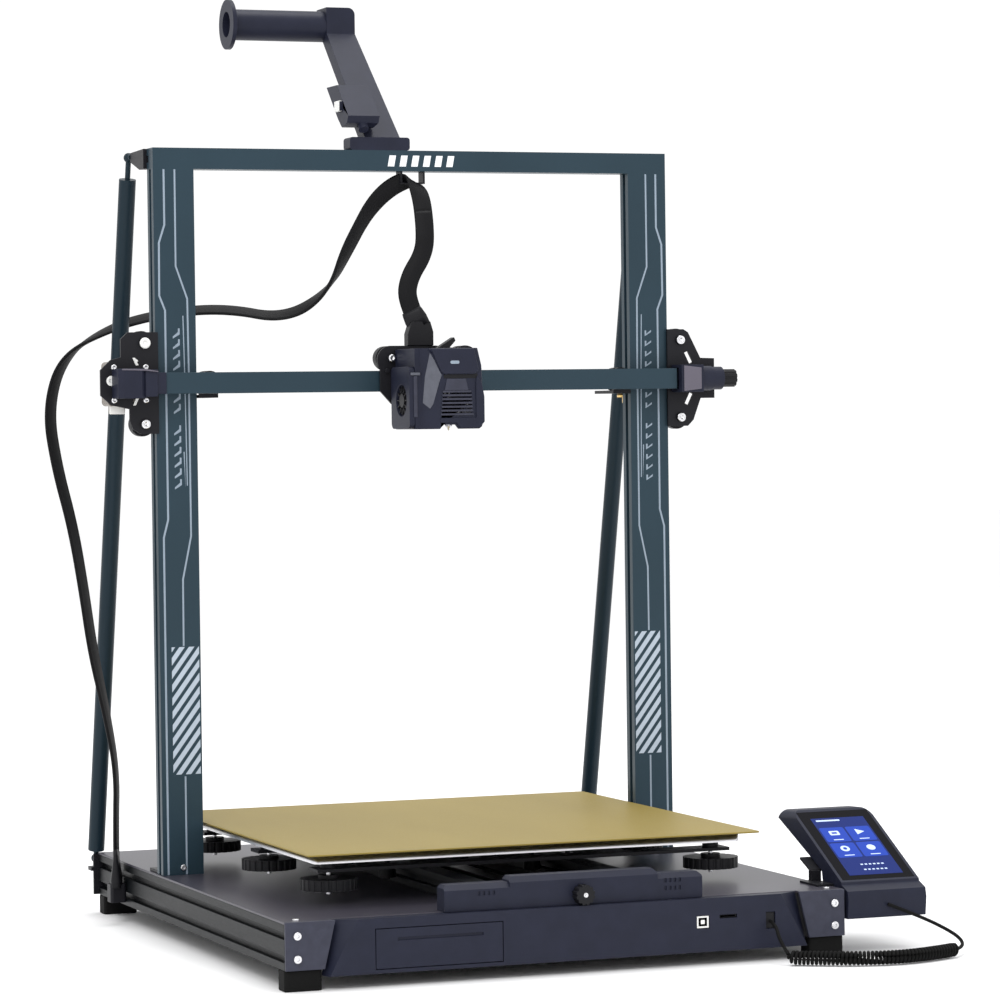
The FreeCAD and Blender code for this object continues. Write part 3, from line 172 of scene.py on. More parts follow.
def textured(name, colour, roughness, metallic=0.0, spread=0.06, drift=14.0, stretch=(1, 1, 1),
             scale=900.0, height=0.00005, strength=0.5, rough=None, specular=0.5):
    """A procedural surface: a colour that drifts by its spread, a fine bump and a span of roughness."""
    material, tree, surface = shader(name, colour, roughness, metallic, specular)
    mapping = mottle(tree, surface, colour, spread, drift, stretch)
    grain(tree, surface, mapping, scale, height, strength, rough)
    return material


FLOOR = textured("floor_paper", (0.96, 0.96, 0.965), 0.9, spread=0.01, scale=60, height=0.0002,
                 strength=0.1, specular=0.1)
FRAME_BLUE = textured("frame_blue", (0.021, 0.043, 0.060), 0.36, 0.2, 0.07, 9, scale=1800, height=0.00003,
                      strength=0.35, rough=(0.30, 0.42), specular=0.25)
BRACE_BLUE = textured("brace_blue", (0.009, 0.021, 0.031), 0.38, 0.1, 0.07, 9, (1, 1, 0.1), 1800, 0.00003,
                      0.35, (0.32, 0.44), specular=0.2)
RAIL_BLACK = textured("rail_black", (0.004, 0.005, 0.006), 0.40, 0.0, 0.06, 9, (1, 0.1, 1), 1500, 0.00003,
                      0.35, (0.34, 0.48), specular=0.12)
DECK = textured("deck_paint", (0.044, 0.041, 0.056), 0.36, 0.1, 0.06, 9, scale=2200, height=0.00004,
                strength=0.4, rough=(0.28, 0.44), specular=0.35)
STEEL_BLACK = textured("black_sheet", (0.010, 0.010, 0.013), 0.42, 0.1, 0.08, 12, scale=2400,
                       height=0.00004, rough=(0.36, 0.5), specular=0.2)
NAVY = textured("navy_plastic", (0.013, 0.015, 0.030), 0.44, 0.0, 0.10, 60, scale=3000, height=0.00006,
                rough=(0.38, 0.52), specular=0.2)
# Paler navy: the end plates' own tone, and on the print head a painted highlight where faces catch the
# light (flat, louvre slats, corner rib).
NAVY_PALE_AND_HIGHLIGHT = textured("navy_pale_and_highlight", (0.036, 0.038, 0.058), 0.46, 0.0, 0.12, 120, scale=3000,
                      height=0.00006, rough=(0.42, 0.54), specular=0.24)
# Pale lilac: the idler cover panel, and the painted highlight along the top edge of the motor cover.
LILAC_AND_HIGHLIGHT = textured("lilac_plastic_and_highlight", (0.115, 0.105, 0.135), 0.45, 0.0, 0.06, 40, scale=3000, height=0.00005,
                 rough=(0.40, 0.52), specular=0.3)
# Light grey: a painted highlight on the head's slanted facet, and the clip on the shroud.
HEAD_GREY_AND_HIGHLIGHT = textured("head_grey_and_highlight", (0.100, 0.105, 0.130), 0.5, 0.0, 0.10, 160, scale=3000, height=0.00008,
                     rough=(0.44, 0.56), specular=0.25)
BLACK = textured("black_plastic", (0.008, 0.008, 0.010), 0.42, 0.0, 0.08, 14, scale=2600, height=0.00005,
                 rough=(0.36, 0.5), specular=0.2)
BLACK_GLOSS = textured("black_gloss", (0.002, 0.002, 0.004), 0.16, 0.0, 0.05, 20, scale=1200,
                       height=0.00001, strength=0.2, rough=(0.12, 0.2), specular=0.06)
RUBBER = textured("rubber", (0.006, 0.006, 0.006), 0.68, 0.0, 0.1, 20, scale=1600, height=0.0001,
                  rough=(0.6, 0.78), specular=0.1)
SLEEVE = textured("cable_sleeve", (0.004, 0.004, 0.005), 0.55, 0.0, 0.12, 60, scale=2200, height=0.00012,
                  strength=0.7, rough=(0.45, 0.62), specular=0.15)
ALU = textured("aluminium", (0.82, 0.82, 0.85), 0.3, 1.0, 0.04, 12, (1, 12, 1), 700, 0.00002, 0.3,
               (0.24, 0.38))
BRIGHT = textured("bright_steel", (0.72, 0.72, 0.74), 0.25, 1.0, 0.05, 40, (1, 1, 6), 900, 0.00002, 0.3,
                  (0.2, 0.32))
BRASS = textured("brass", (0.75, 0.52, 0.2), 0.3, 1.0, 0.05, 40, scale=900, height=0.00002,
                 rough=(0.25, 0.38))
WHITE = textured("white_nylon", (0.82, 0.82, 0.80), 0.4, 0.0, 0.03, 30, scale=2000, height=0.00003,
                 rough=(0.36, 0.46))
MARK = textured("printed_mark", (0.25, 0.31, 0.38), 0.5, 0.0, 0.05, 80, scale=2500, height=0.00002,
                rough=(0.45, 0.55))
BAR_MARK = textured("bar_mark", (0.86, 0.88, 0.90), 0.5, 0.0, 0.03, 80, scale=2500, height=0.00002,
                    rough=(0.45, 0.55))
HATCH = textured("printed_hatch", (0.42, 0.49, 0.58), 0.5, 0.0, 0.04, 80, scale=2500, height=0.00002,
                 rough=(0.45, 0.55))
LAMINATE = textured("motor_laminate", (0.30, 0.27, 0.24), 0.35, 0.9, 0.16, 30, (1, 60, 1), 500, 0.00008,
                    0.6, (0.3, 0.45))
BOARD = textured("circuit_board", (0.02, 0.10, 0.05), 0.4, 0.0, 0.1, 90, scale=1500, height=0.00005,
                 rough=(0.3, 0.5))
INNER = textured("inner_pan", (0.03, 0.03, 0.033), 0.5, 0.3, 0.06, 12, scale=1800, height=0.00004,
                 rough=(0.42, 0.55))


def gold_sheet():
    """Powder-coated spring steel: coarse sparkle of grains over a warm gold."""
    gold = (0.29, 0.22, 0.06)
    material, tree, surface = shader("gold_sheet", gold, 0.5, 0.1, specular=0.12)
    mapping = mottle(tree, surface, gold, 0.09, 5, (1, 0.25, 1))
    grain(tree, surface, mapping, 1400, 0.00016, 0.75, (0.38, 0.6))
    return material


GOLD = gold_sheet()


def glowing(name, colour, strength):
    """A lit part of the display, dark where its light is off."""
    unlit = tuple(c * 0.4 for c in colour)
    material, tree, surface = shader(name, unlit, 0.3, specular=0.1)
    mapping = mottle(tree, surface, unlit, 0.05, 40)
    grain(tree, surface, mapping, 800, 0.00001, 0.1)
    surface.inputs["Emission Color"].default_value = (*colour, 1)
    surface.inputs["Emission Strength"].default_value = strength
    return material


SCREEN_BLUE = glowing("screen_blue", (0.006, 0.020, 0.15), 0.85)
SCREEN_TILE = glowing("screen_tile", (0.016, 0.055, 0.40), 0.9)
SCREEN_MARK = glowing("screen_mark", (0.60, 0.72, 0.95), 0.9)


# ------------------------------------------------------------------ building helpers

SHARP_ANGLE = math.radians(32)  # edges sharper than this are rounded and shaded as edges


def add_object(name, mesh, body, *materials, slot=None, smooth=True):
    """Puts a mesh in the scene, with its materials and smooth shading, on a body of the frame; the slot
    argument is not used.
    """
    made = bpy.data.objects.new(name, mesh)
    bpy.context.scene.collection.objects.link(made)
    for material in materials:
        mesh.materials.append(material)
    if smooth:
        for face in mesh.polygons:
            face.use_smooth = True
    if body:
        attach(made, body)
    return made


def bevelled(made, width):
    """Real rounded edges, with shading that stays flat on the faces between them."""
    edge = made.modifiers.new("edge", "BEVEL")
    edge.width = width
    edge.segments = 2
    edge.limit_method = "ANGLE"
    edge.angle_limit = SHARP_ANGLE
    edge.harden_normals = False
    flat = made.modifiers.new("flat", "WEIGHTED_NORMAL")
    flat.keep_sharp = False
    flat.weight = 90
    return made


def join_coplanar(form):
    """Merges faces that lie in one plane."""
    flat = math.radians(0.6)
    bmesh.ops.dissolve_limit(form, angle_limit=flat, verts=form.verts, edges=form.edges)


def without_butt_joints(form):
    """Drops the pairs of faces where solids meet face to face, so that they read as one piece."""
    places = {}
    for face in form.faces:
        if abs(face.normal.x) > 0.999:
            places.setdefault(round(face.calc_center_median().x, 5), []).append(face)
    doomed = []
    for faces in places.values():
        toward = {face.normal.x > 0 for face in faces}
        if len(toward) == 2:
            doomed += faces
    bmesh.ops.delete(form, geom=doomed, context="FACES")


def softened(cad_node, material, width=0.5, one_piece=False):
    """Stands for a CAD node: its own surface with coplanar faces joined and its edges rounded."""
    source = frame["nodes"][cad_node]
    form = bmesh.new()
    form.from_mesh(source.data)
    bmesh.ops.remove_doubles(form, verts=form.verts, dist=0.000002)
    join_coplanar(form)
    if one_piece:
        without_butt_joints(form)
        join_coplanar(form)
    for edge in form.edges:
        if len(edge.link_faces) == 2:
            edge.smooth = edge.calc_face_angle(0) < SHARP_ANGLE
    mesh = bpy.data.meshes.new(cad_node + "_shown")
    form.to_mesh(mesh)
    form.free()
    made = add_object(cad_node + "_shown", mesh, NODE_BODY[cad_node], material, slot=SLOT_OF[cad_node])
    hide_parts(cad_node)
    return bevelled(made, width * MM)


def painted(cad_node, material):
    """Shows the CAD node itself in this material."""
    shown = frame["nodes"][cad_node]
    shown.data.materials.clear()
    shown.data.materials.append(material)


# ------------------------------------------------------------------ cords

def metres(points):
    return [Vector(point) for point in points]


MAIN_ROUTE = metres([
    (-0.2870, 0.2057, 0.040), (-0.2870, 0.2057, 0.095), (-0.2850, 0.2057, 0.150), (-0.2950, 0.2067, 0.210),
    (-0.3070, 0.2077, 0.268), (-0.3150, 0.2077, 0.328), (-0.3250, 0.2077, 0.390), (-0.3400, 0.2077, 0.448),
    (-0.3480, 0.2087, 0.505), (-0.3320, 0.2087, 0.556), (-0.2840, 0.2067, 0.584), (-0.2340, 0.1937, 0.597),
    (-0.1790, 0.1677, 0.601), (-0.1260, 0.1427, 0.589), (-0.0890, 0.1177, 0.615), (-0.0720, 0.1017, 0.662),
    (-0.0490, 0.0927, 0.704), (-0.0200, 0.0837, 0.7248), (-0.0125, 0.0637, 0.712),
    (-0.0130, 0.0557, 0.690)])
HEAD_ROUTE = metres([
    (-0.0130, 0.0557, 0.690), (-0.01345, 0.0485, 0.6702), (-0.0160, 0.0477, 0.649),
    (-0.0310, 0.0487, 0.626), (-0.0340, 0.0487, 0.604), (-0.0220, 0.0477, 0.581)])
LEAD_ROUTE = metres([(0.176, -0.3143, 0.036), (0.176, -0.3263, 0.033), (0.174, -0.3363, 0.022),
                     (0.178, -0.3463, 0.010)])
COIL_ROUTE = metres([(0.178, -0.3463, 0.0072), (0.200, -0.3603, 0.0072), (0.232, -0.3783, 0.0072),
                     (0.267, -0.3863, 0.0072), (0.302, -0.3793, 0.0072), (0.336, -0.3633, 0.0072)])
TAIL_ROUTE = metres([(0.336, -0.3633, 0.0072), (0.350, -0.3523, 0.0072), (0.354, -0.3363, 0.014),
                     (0.338, -0.3243, 0.025), (0.314, -0.3203, 0.036), (0.292, -0.3162, 0.045)])
RIBBON = 18 * MM
SLEEVE_T = 4 * MM
THIN_CORD_D = 3.2 * MM


def route_curve(name, points, radius=0.0):
    """A smooth curve steered by the route's points, round if it has a radius."""
    curve = bpy.data.curves.new(name, "CURVE")
    curve.dimensions = "3D"
    curve.resolution_u = 24
    spline = curve.splines.new("NURBS")
    spline.points.add(len(points) - 1)
    for target, point in zip(spline.points, points):
        target.co = (*point, 1)
    spline.order_u = 3
    spline.use_endpoint_u = True
    curve.bevel_depth = radius
    curve.bevel_resolution = 4
    return curve


def read_route(name, points):
    """The points that the route's own spline passes through."""
    curve = route_curve(name, points)
    carrier = bpy.data.objects.new(name, curve)
    bpy.context.scene.collection.objects.link(carrier)
    mesh = bpy.data.meshes.new_from_object(carrier)
    line = [vertex.co.copy() for vertex in mesh.vertices]
    bpy.data.objects.remove(carrier)
    bpy.data.curves.remove(curve)
    bpy.data.meshes.remove(mesh)
    return line


def even(line, step):
    """The same line in equal steps."""
    lengths = [(b - a).length for a, b in zip(line, line[1:])]
    total = sum(lengths)
    count = max(2, round(total / step))
    spaced, index, walked = [], 0, 0.0
    for k in range(count + 1):
        target = total * k / count
        while index < len(lengths) - 1 and walked + lengths[index] < target:
            walked += lengths[index]
            index += 1
        share = (target - walked) / lengths[index]
        spaced.append(line[index].lerp(line[index + 1], min(1, share)))
    return spaced, total


def tangents(line):
    """The direction of a line at each of its points."""
    found = []
    for k in range(len(line)):
        found.append((line[min(k + 1, len(line) - 1)] - line[max(k - 1, 0)]).normalized())
    return found


def skin(rings):
    """A closed mesh through rings of equal size."""
    count = len(rings[0])
    vertices = [point for ring in rings for point in ring]
    faces = []
    for k in range(len(rings) - 1):
        for j in range(count):
            a, b = k * count + j, k * count + (j + 1) % count
            faces.append((a, b, b + count, a + count))
    faces.append(tuple(reversed(range(count))))
    faces.append(tuple(range(len(vertices) - count, len(vertices))))
    mesh = bpy.data.meshes.new("skin")
    mesh.from_pydata(vertices, [], faces)
    return mesh


def blended(keys, share):
    """Interpolates the key directions given along a route."""
    for (at, here), (until, there) in zip(keys, keys[1:]):
        if share <= until:
            mix = (share - at) / (until - at)
            mix = mix * mix * (3 - 2 * mix)
            return Vector(here).lerp(Vector(there), mix)
    return Vector(keys[-1][1])


def pull(value, power):
    """Squares off one coordinate of a circle, which the power makes flatter."""
    return math.copysign(abs(value) ** power, value)


def ribbon(name, route, facing):
    """A flat sleeve with a shallow row of cores in it, its width turned along the facing keys."""
    line, total = even(read_route(name, route), 0.003)
    rings = []
    sides = 28
    for k, (point, along) in enumerate(zip(line, tangents(line))):
        across = blended(facing, k / (len(line) - 1))
        across = (across - along * across.dot(along)).normalized()
        up = along.cross(across)
        ring = []
        for j in range(sides):
            angle = 2 * math.pi * j / sides
            flat = pull(math.cos(angle), 0.55)
            deep = pull(math.sin(angle), 0.75)
            core = 1 + 0.10 * math.cos(flat * 5 * math.pi)
            ring.append(point + across * flat * RIBBON / 2 + up * deep * core * SLEEVE_T / 2)
        rings.append(ring)
    return skin(rings), line, total


def helix(route, turn_radius, wire, pitch):
    """A curly cord: wire wound round the route, drawn in to it at both ends."""
    sides, steps = 9, 18
    line, total = even(read_route("helix", route), 0.0008)
    along = tangents(line)
    turns = total / pitch
    count = int(turns * steps)
    centres = []
    for k in range(count + 1):
        share = k / count
        place = share * (len(line) - 1)
        low = min(int(place), len(line) - 2)
        point = line[low].lerp(line[low + 1], place - low)
        forward = along[low]
        side = forward.cross(Vector((0, 0, 1))).normalized()
        rise = side.cross(forward)
        ends = min(1, share * turns, (1 - share) * turns)
        angle = 2 * math.pi * turns * share
        reach = turn_radius * ends
        centres.append(point + side * math.cos(angle) * reach + rise * math.sin(angle) * reach)
    rings = []
    for centre, forward in zip(centres, tangents(centres)):
        side = forward.cross(Vector((0.13, 0.27, 0.95))).normalized()
        rise = side.cross(forward)
        rings.append([centre + (side * math.cos(a) + rise * math.sin(a)) * wire
                      for a in (2 * math.pi * j / sides for j in range(sides))])
    return skin(rings), line, total


def sleeve_boot(name, at, along, across, sizes, body):
    """A moulded strain relief: rounded rectangular sections that taper along the cable."""
    along = Vector(along).normalized()
    across = (Vector(across) - along * Vector(across).dot(along)).normalized()
    up = along.cross(across)
    rings = []
    for distance, width, depth in sizes:
        ring = []
        for j in range(24):
            angle = 2 * math.pi * j / 24
            ring.append(Vector(at) + along * distance + across * pull(math.cos(angle), 0.6) * width / 2
                        + up * pull(math.sin(angle), 0.6) * depth / 2)
        rings.append(ring)
    return add_object(name, skin(rings), body, BLACK)


def add_main_cable():
    """Flat sleeve from the side of the base over the brace to the clip on the top bar."""
    mesh, line, total = ribbon("main_ribbon", MAIN_ROUTE, [
        (0.00, (0.45, 0.90, 0.0)), (0.10, (0.45, 0.90, 0.0)), (0.25, (0.70, 0.72, 0.0)),
        (0.52, (0.75, 0.65, 0.2)), (0.62, (0.25, 0.90, 0.5)), (0.78, (0.10, 0.90, 0.5)),
        (0.88, (0.75, 0.60, -0.45)), (0.955, (0.85, -0.10, -0.55)), (1.0, (0.98, -0.20, 0.0))])
    cable = add_object("main_ribbon", mesh, None, SLEEVE, slot="black_rubber")
    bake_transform(cable)
    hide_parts("main_cable", "head_cable_upper")
    relief = sleeve_boot("main_cable_boot", MAIN_ROUTE[0], (0, 0, 1), (0.35, 0.94, 0),
                         [(-0.004, 0.021, 0.011), (0.004, 0.0215, 0.0115), (0.016, 0.0205, 0.008),
                          (0.028, 0.0196, 0.0052), (0.034, 0.0192, 0.0042)], "frame")


def add_head_cable():
    """Flat sleeve from the clip down to the clamp on the print head."""
    mesh, line, total = ribbon("head_ribbon", HEAD_ROUTE, [
        (0.0, (0.98, -0.20, 0.0)), (0.5, (0.96, -0.28, 0.0)), (1.0, (0.92, -0.38, 0.0))])
    cable = add_object("head_ribbon", mesh, None, SLEEVE, slot="black_rubber")
    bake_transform(cable)
    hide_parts("head_cable_lower")
    end, before_end = HEAD_ROUTE[-1], HEAD_ROUTE[-2]
    strap = sleeve_boot("head_cable_boot", end, before_end - end, (0.92, -0.38, 0),
                        [(-0.002, 0.022, 0.009), (0.006, 0.0225, 0.0095), (0.013, 0.0205, 0.0075),
                         (0.016, 0.0190, 0.0045)], "print_head")


def add_screen_cord():
    """Straight lead, curly middle and straight tail of the touch screen's cord."""
    mesh, line, total = helix(COIL_ROUTE, 4.8 * MM, 1.65 * MM, 3.7 * MM)
    coil = add_object("screen_coil_cord", mesh, "frame", RUBBER, slot="black_rubber")
    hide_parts("screen_coil")
    for name, route, cad_node in (("screen_lead_cord", LEAD_ROUTE, "screen_lead"),
                                  ("screen_tail_cord", TAIL_ROUTE, "screen_tail")):
        curve = route_curve(name, route, THIN_CORD_D / 2)
        total = even(read_route(name, route), 0.001)[1]
        thin = add_object(name, curve, "frame", RUBBER, slot="black_rubber", smooth=False)
        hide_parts(cad_node)


# ------------------------------------------------------------------ small solids

def prism_mesh(name, outline, at, u, v, depth):
    """A flat outline, given along u and v from a corner, pushed along depth."""
    u, v, depth, at = Vector(u), Vector(v), Vector(depth), Vector(at)
    near = [at + u * a + v * b for a, b in outline]
    far = [point + depth for point in near]
    count = len(outline)
    faces = [tuple(range(count)), tuple(reversed(range(count, 2 * count)))]
    for k in range(count):
        following = (k + 1) % count
        faces.append((following, k, k + count, following + count))
    mesh = bpy.data.meshes.new(name)
    mesh.from_pydata(near + far, [], faces)
    form = bmesh.new()
    form.from_mesh(mesh)
    bmesh.ops.recalc_face_normals(form, faces=form.faces)
    form.to_mesh(mesh)
    form.free()
    return mesh


def joined(name, meshes):
    """One mesh made of several, which are given up."""
    form = bmesh.new()
    for mesh in meshes:
        form.from_mesh(mesh)
        bpy.data.meshes.remove(mesh)
    whole = bpy.data.meshes.new(name)
    form.to_mesh(whole)
    form.free()
    return whole


def rounded_outline(width, height, radius):
    """A rectangle from the origin with rounded corners."""
    steps = 5
    corners = [(width - radius, height - radius, 0), (radius, height - radius, 90), (radius, radius, 180),
               (width - radius, radius, 270)]
    outline = []
    for x, y, start in corners:
        for k in range(steps + 1):
            angle = math.radians(start + 90 * k / steps)
            outline.append((x + radius * math.cos(angle), y + radius * math.sin(angle)))
    return outline


def lathe(name, profile, at, axis):
    """Turns (distance along axis, radius) pairs, in millimetres, into a solid of revolution."""
    segments = 40
    axis = Vector(axis).normalized()
    side = axis.orthogonal().normalized()
    rise = axis.cross(side)
    rings = []
    for distance, radius in profile:
        centre = Vector(at) + axis * (distance * MM)
        reach = max(radius * MM, 0.01 * MM)
        rings.append([centre + (side * math.cos(a) + rise * math.sin(a)) * reach
                      for a in (2 * math.pi * j / segments for j in range(segments))])
    mesh = skin(rings)
    mesh.name = name
    return mesh


def strip_outline(points, width):
    """A line of constant width as a closed outline, mitred at its kinks."""
    left, right = [], []
    for k, (x, z) in enumerate(points):
        before = points[max(k - 1, 0)]
        after = points[min(k + 1, len(points) - 1)]
        dx, dz = after[0] - before[0], after[1] - before[1]
        length = math.hypot(dx, dz)
        left.append((x - dz / length * width / 2, z + dx / length * width / 2))
        right.append((x + dz / length * width / 2, z - dx / length * width / 2))
    return left + right[::-1]


# ------------------------------------------------------------------ portal graphics

OUTER_LINE = [(10.5, 729.5), (10.5, 677), (4.9, 660), (4.5, 610), (10.0, 596), (10.0, 398), (5.5, 381),
              (5.3, 61)]
INNER_LINE_TOP = [(21.2, 729.5), (21.0, 638), (31.9, 607), (32.4, 540), (32.3, 382), (23.7, 341),
                  (23.4, 278)]
INNER_LINE_LOW = [(23.3, 154), (23.3, 61)]
SIDE_LINE = [(27.4, 591), (28.3, 540), (29.4, 430)]
PRINT_T = 0.12 * MM


TICK_TOP, TICK_PITCH = 577.0, 10.2
HATCH_BOTTOM, HATCH_TOP = 156.0, 277.0
HATCH_LEFT, HATCH_RIGHT = 11.5, 38.5
HATCH_PITCH, HATCH_BAND = 12.7, 7.2


def tick_outlines(side):
    """Slanted ticks in three groups, which lean towards the outer edge of their upright."""
    lean = 2.0 if side < 0 else -2.0
    ticks = []
    for k in range(15):
        top = TICK_TOP - k * TICK_PITCH
        if k not in (4, 8):
            ticks.append([(17.2, top - 5.6 - lean), (24.0, top - 5.6 + lean), (24.0, top + lean),
                          (22.3, top + lean), (22.3, top - 3.4 + lean), (17.2, top - 3.6 - lean)])
    return ticks


def hatch_outlines(side):
    """Diagonal bands that fill a block, mirrored from one upright to the other."""
    rise = (HATCH_RIGHT - HATCH_LEFT) * 1.34
    bands = []
    for k in range(-4, 11):
        start = HATCH_BOTTOM + 2.0 + k * HATCH_PITCH
        end = start + rise
        outline = [(HATCH_LEFT, start), (HATCH_RIGHT, end), (HATCH_RIGHT, end + HATCH_BAND),
                   (HATCH_LEFT, start + HATCH_BAND)]
        if side > 0:
            outline = [(HATCH_LEFT + HATCH_RIGHT - u, z) for u, z in outline]
        clipped = clip_band(outline, HATCH_BOTTOM, HATCH_TOP)
        if len(clipped) > 2:
            bands.append(clipped)
    return bands


def upright_print(side, name):
    """Printed decoration on the front of one upright: kinked lines, slanted ticks and a hatched block."""
    low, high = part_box("portal_frame")
    edge = low.x if side < 0 else high.x

    def flat(outline):
        at = Vector((edge, low.y - PRINT_T, 0))
        return prism_mesh("print", outline, at, (-side * MM, 0, 0), (0, 0, MM), (0, PRINT_T, 0))

    def show(part, outlines, material):
        mesh = joined(name + part, [flat(outline) for outline in outlines])
        add_object(name + part, mesh, "frame", material, slot="blue_alu", smooth=False)

    lines = [strip_outline(OUTER_LINE, 1.9), strip_outline(INNER_LINE_TOP, 1.7),
             strip_outline(INNER_LINE_LOW, 1.7), strip_outline(SIDE_LINE, 1.0),
             [(26.1, 462), (27.2, 462), (27.6, 428)]]
    show("_lines", lines + tick_outlines(side), MARK)
    show("_hatch", hatch_outlines(side), HATCH)


def clip_band(outline, bottom, top):
    """Keeps the part of an outline between two heights."""
    for limit, keep_above in ((bottom, True), (top, False)):
        kept = []
        for k, point in enumerate(outline):
            following = outline[(k + 1) % len(outline)]
            inside = point[1] >= limit if keep_above else point[1] <= limit
            next_inside = following[1] >= limit if keep_above else following[1] <= limit
            if inside:
                kept.append(point)
            if inside != next_inside:
                share = (limit - point[1]) / (following[1] - point[1])
                kept.append((point[0] + share * (following[0] - point[0]), limit))
        outline = kept
        if len(outline) < 3:
            return []
    return outline


# ------------------------------------------------------------------ small details

def front_plate(name, outline, origin, depth, body, material, slot, bevel=0.0):
    """A flat shape facing the front, its outline in millimetres right of and above its origin."""
    mesh = prism_mesh(name, outline, Vector(origin) - Vector((0, depth * MM, 0)), (MM, 0, 0), (0, 0, MM),
                      (0, depth * MM, 0))
    made = add_object(name, mesh, body, material, slot=slot, smooth=False)
    return bevelled(made, bevel * MM) if bevel else made


def rectangle(x0, x1, z0, z1):
    return [(x0, z0), (x1, z0), (x1, z1), (x0, z1)]


def button_screw(name, at, radius, body, material=BRIGHT, slot="steel", height=1.2):
    """A domed head with a round recess, standing on a face that looks to the front."""
    profile = [(0, radius), (height * 0.5, radius), (height * 0.85, radius * 0.86), (height, radius * 0.62),
               (height, radius * 0.42), (height * 0.3, radius * 0.38), (height * 0.3, 0.0)]
    return add_object(name, lathe(name, profile, at, FRONT), body, material, slot=slot)


def head_facet(corner):
    """Slanted panel on the left corner of the shroud, drawn in a paler grey as a painted highlight where it
    catches the light.
    """
    outline = [(13, 70), (21, 47.6), (14.7, 20), (12.4, 15.9), (7.1, 21.4), (8.9, 45.8)]
    ahead = [corner + Vector((x, 19.5 - x, z)) * MM for x, z in outline]
    behind = [point + Vector((0.8, 0.8, 0)) * MM for point in ahead]
    count = len(outline)
    faces = [tuple(range(count)), tuple(reversed(range(count, 2 * count)))]
    faces += [((k + 1) % count, k, k + count, (k + 1) % count + count) for k in range(count)]
    mesh = bpy.data.meshes.new("head_facet")
    mesh.from_pydata(ahead + behind, [], faces)
    add_object("head_facet", mesh, "print_head", HEAD_GREY_AND_HIGHLIGHT, slot="grey_plastic", smooth=False)


def head_details():
    """Badge panel with a painted shadow strip under it; louvres, flat, facet and corner rib drawn paler as
    painted highlights; sill and clips on the shroud, and a screw on its ear.
    """
    low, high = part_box("head_shroud")
    corner = Vector((low.x, low.y, high.z - 73 * MM))

    def panel(name, outline, depth, material, bevel, setback=0, slot="navy_plastic"):
        origin = corner + Vector((0, setback * MM, 0))
        front_plate(name, outline, origin, depth, "print_head", material, slot, bevel)

    badge = [(11, 72.8), (54.5, 72.8), (59.5, 52), (54.5, 48), (24.2, 48), (21.3, 49.6)]
    panel("head_badge", badge, 12.5, NAVY, 1.6, setback=10)
    # Black strip under the badge: a painted shadow of the badge's overhang.
    panel("head_badge_shadow", rectangle(24, 58, 44.3, 48.4), 0.3, BLACK, 0, slot="black_plastic")
    # The flat of the louvre recess is drawn paler than the shroud: a painted highlight where it faces the
    # light.
    panel("head_flat", [(24.5, 33), (48.5, 33), (46, 44), (27, 44)], 0.9, NAVY_PALE_AND_HIGHLIGHT, 0.3)
    # Louvre slats drawn paler than the shroud: a painted highlight on the raised bars.
    for k in range(7):
        z = 9.2 + 3.6 * k
        slat = rectangle(20.5 + k * 0.35, 53.5 - k * 0.35, z, z + 2.0)
        panel("head_slat_%d" % k, slat, 1.1, NAVY_PALE_AND_HIGHLIGHT, 0.4)
    cheek = [(57, 47), (62, 40), (64.5, 27), (64.5, 3), (59.5, -2.4), (56, -2.4), (56, 40)]
    panel("head_side", cheek, 1.6, NAVY, 0.8)
    sill = [(20, 2.2), (36, 2.2), (40, -2.8), (57, -2.8), (57, 7), (20, 7)]
    panel("head_sill", sill, 1.4, NAVY, 0.6)
    head_facet(corner)
    # Pale vertical bar: a painted highlight on the rounded front corner of the blower box.
    panel("head_corner_highlight", rectangle(-1.5, 2.2, 8, 47), 1.0, NAVY_PALE_AND_HIGHLIGHT, 0.4, setback=14)
    panel("head_clip", rectangle(-4.5, 5.0, 47.6, 50.2), 1.6, HEAD_GREY_AND_HIGHLIGHT, 0.5, setback=14,
          slot="grey_plastic")
    mark_at = corner + Vector((30, -2.5, 58)) * MM
    front_plate("head_mark", rounded_outline(9, 3, 1.4), mark_at, 0.15, "print_head", MARK, "navy_plastic")
    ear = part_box("head_plate")[0]
    button_screw("head_screw", (ear.x + 13.8 * MM, ear.y, 0.549), 3.6, "print_head")


def gantry_screws(face, wheels, centre):
    """Heads on the end plates: motor screws, wheel axles and a cap on the upper left axle."""
    for dx in (-15.5, 15.5):
        for dz in (-15.5, 15.5):
            at = (centre.x + dx * MM, face, BEAM_HEIGHT + dz * MM)
            button_screw("motor_screw", at, 2.9, "gantry", height=1.6)
    axle_inset = 11.7 * MM
    for side, x in ((-1, wheels[0].x + axle_inset), (1, wheels[1].x - axle_inset)):
        for dz in (-38.2, 38.2):
            at = (x, face - 2.8 * MM, BEAM_HEIGHT + dz * MM)
            if side < 0 and dz > 0:
                button_screw("axle_cap", at, 5.2, "gantry", WHITE, "grey_plastic", 1.0)
            else:
                button_screw("axle_screw", at, 4.4, "gantry", height=0.8)


def lift_nuts():
    """Brass collars of the nuts round both lead screws."""
    nut = [(0, 4.2), (0, 5.6), (5.5, 5.6), (5.5, 10.7), (9.2, 10.7), (9.2, 4.2)]
    for cad_node in ("lead_screw_left", "lead_screw_right"):
        low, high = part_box(cad_node)
        axis = (low + high) / 2
        at = (axis.x, axis.y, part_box("screw_nuts")[0].z - 0.2 * MM)
        add_object("brass_nut", lathe("brass_nut", nut, at, (0, 0, 1)), "gantry", BRASS, slot="brass")


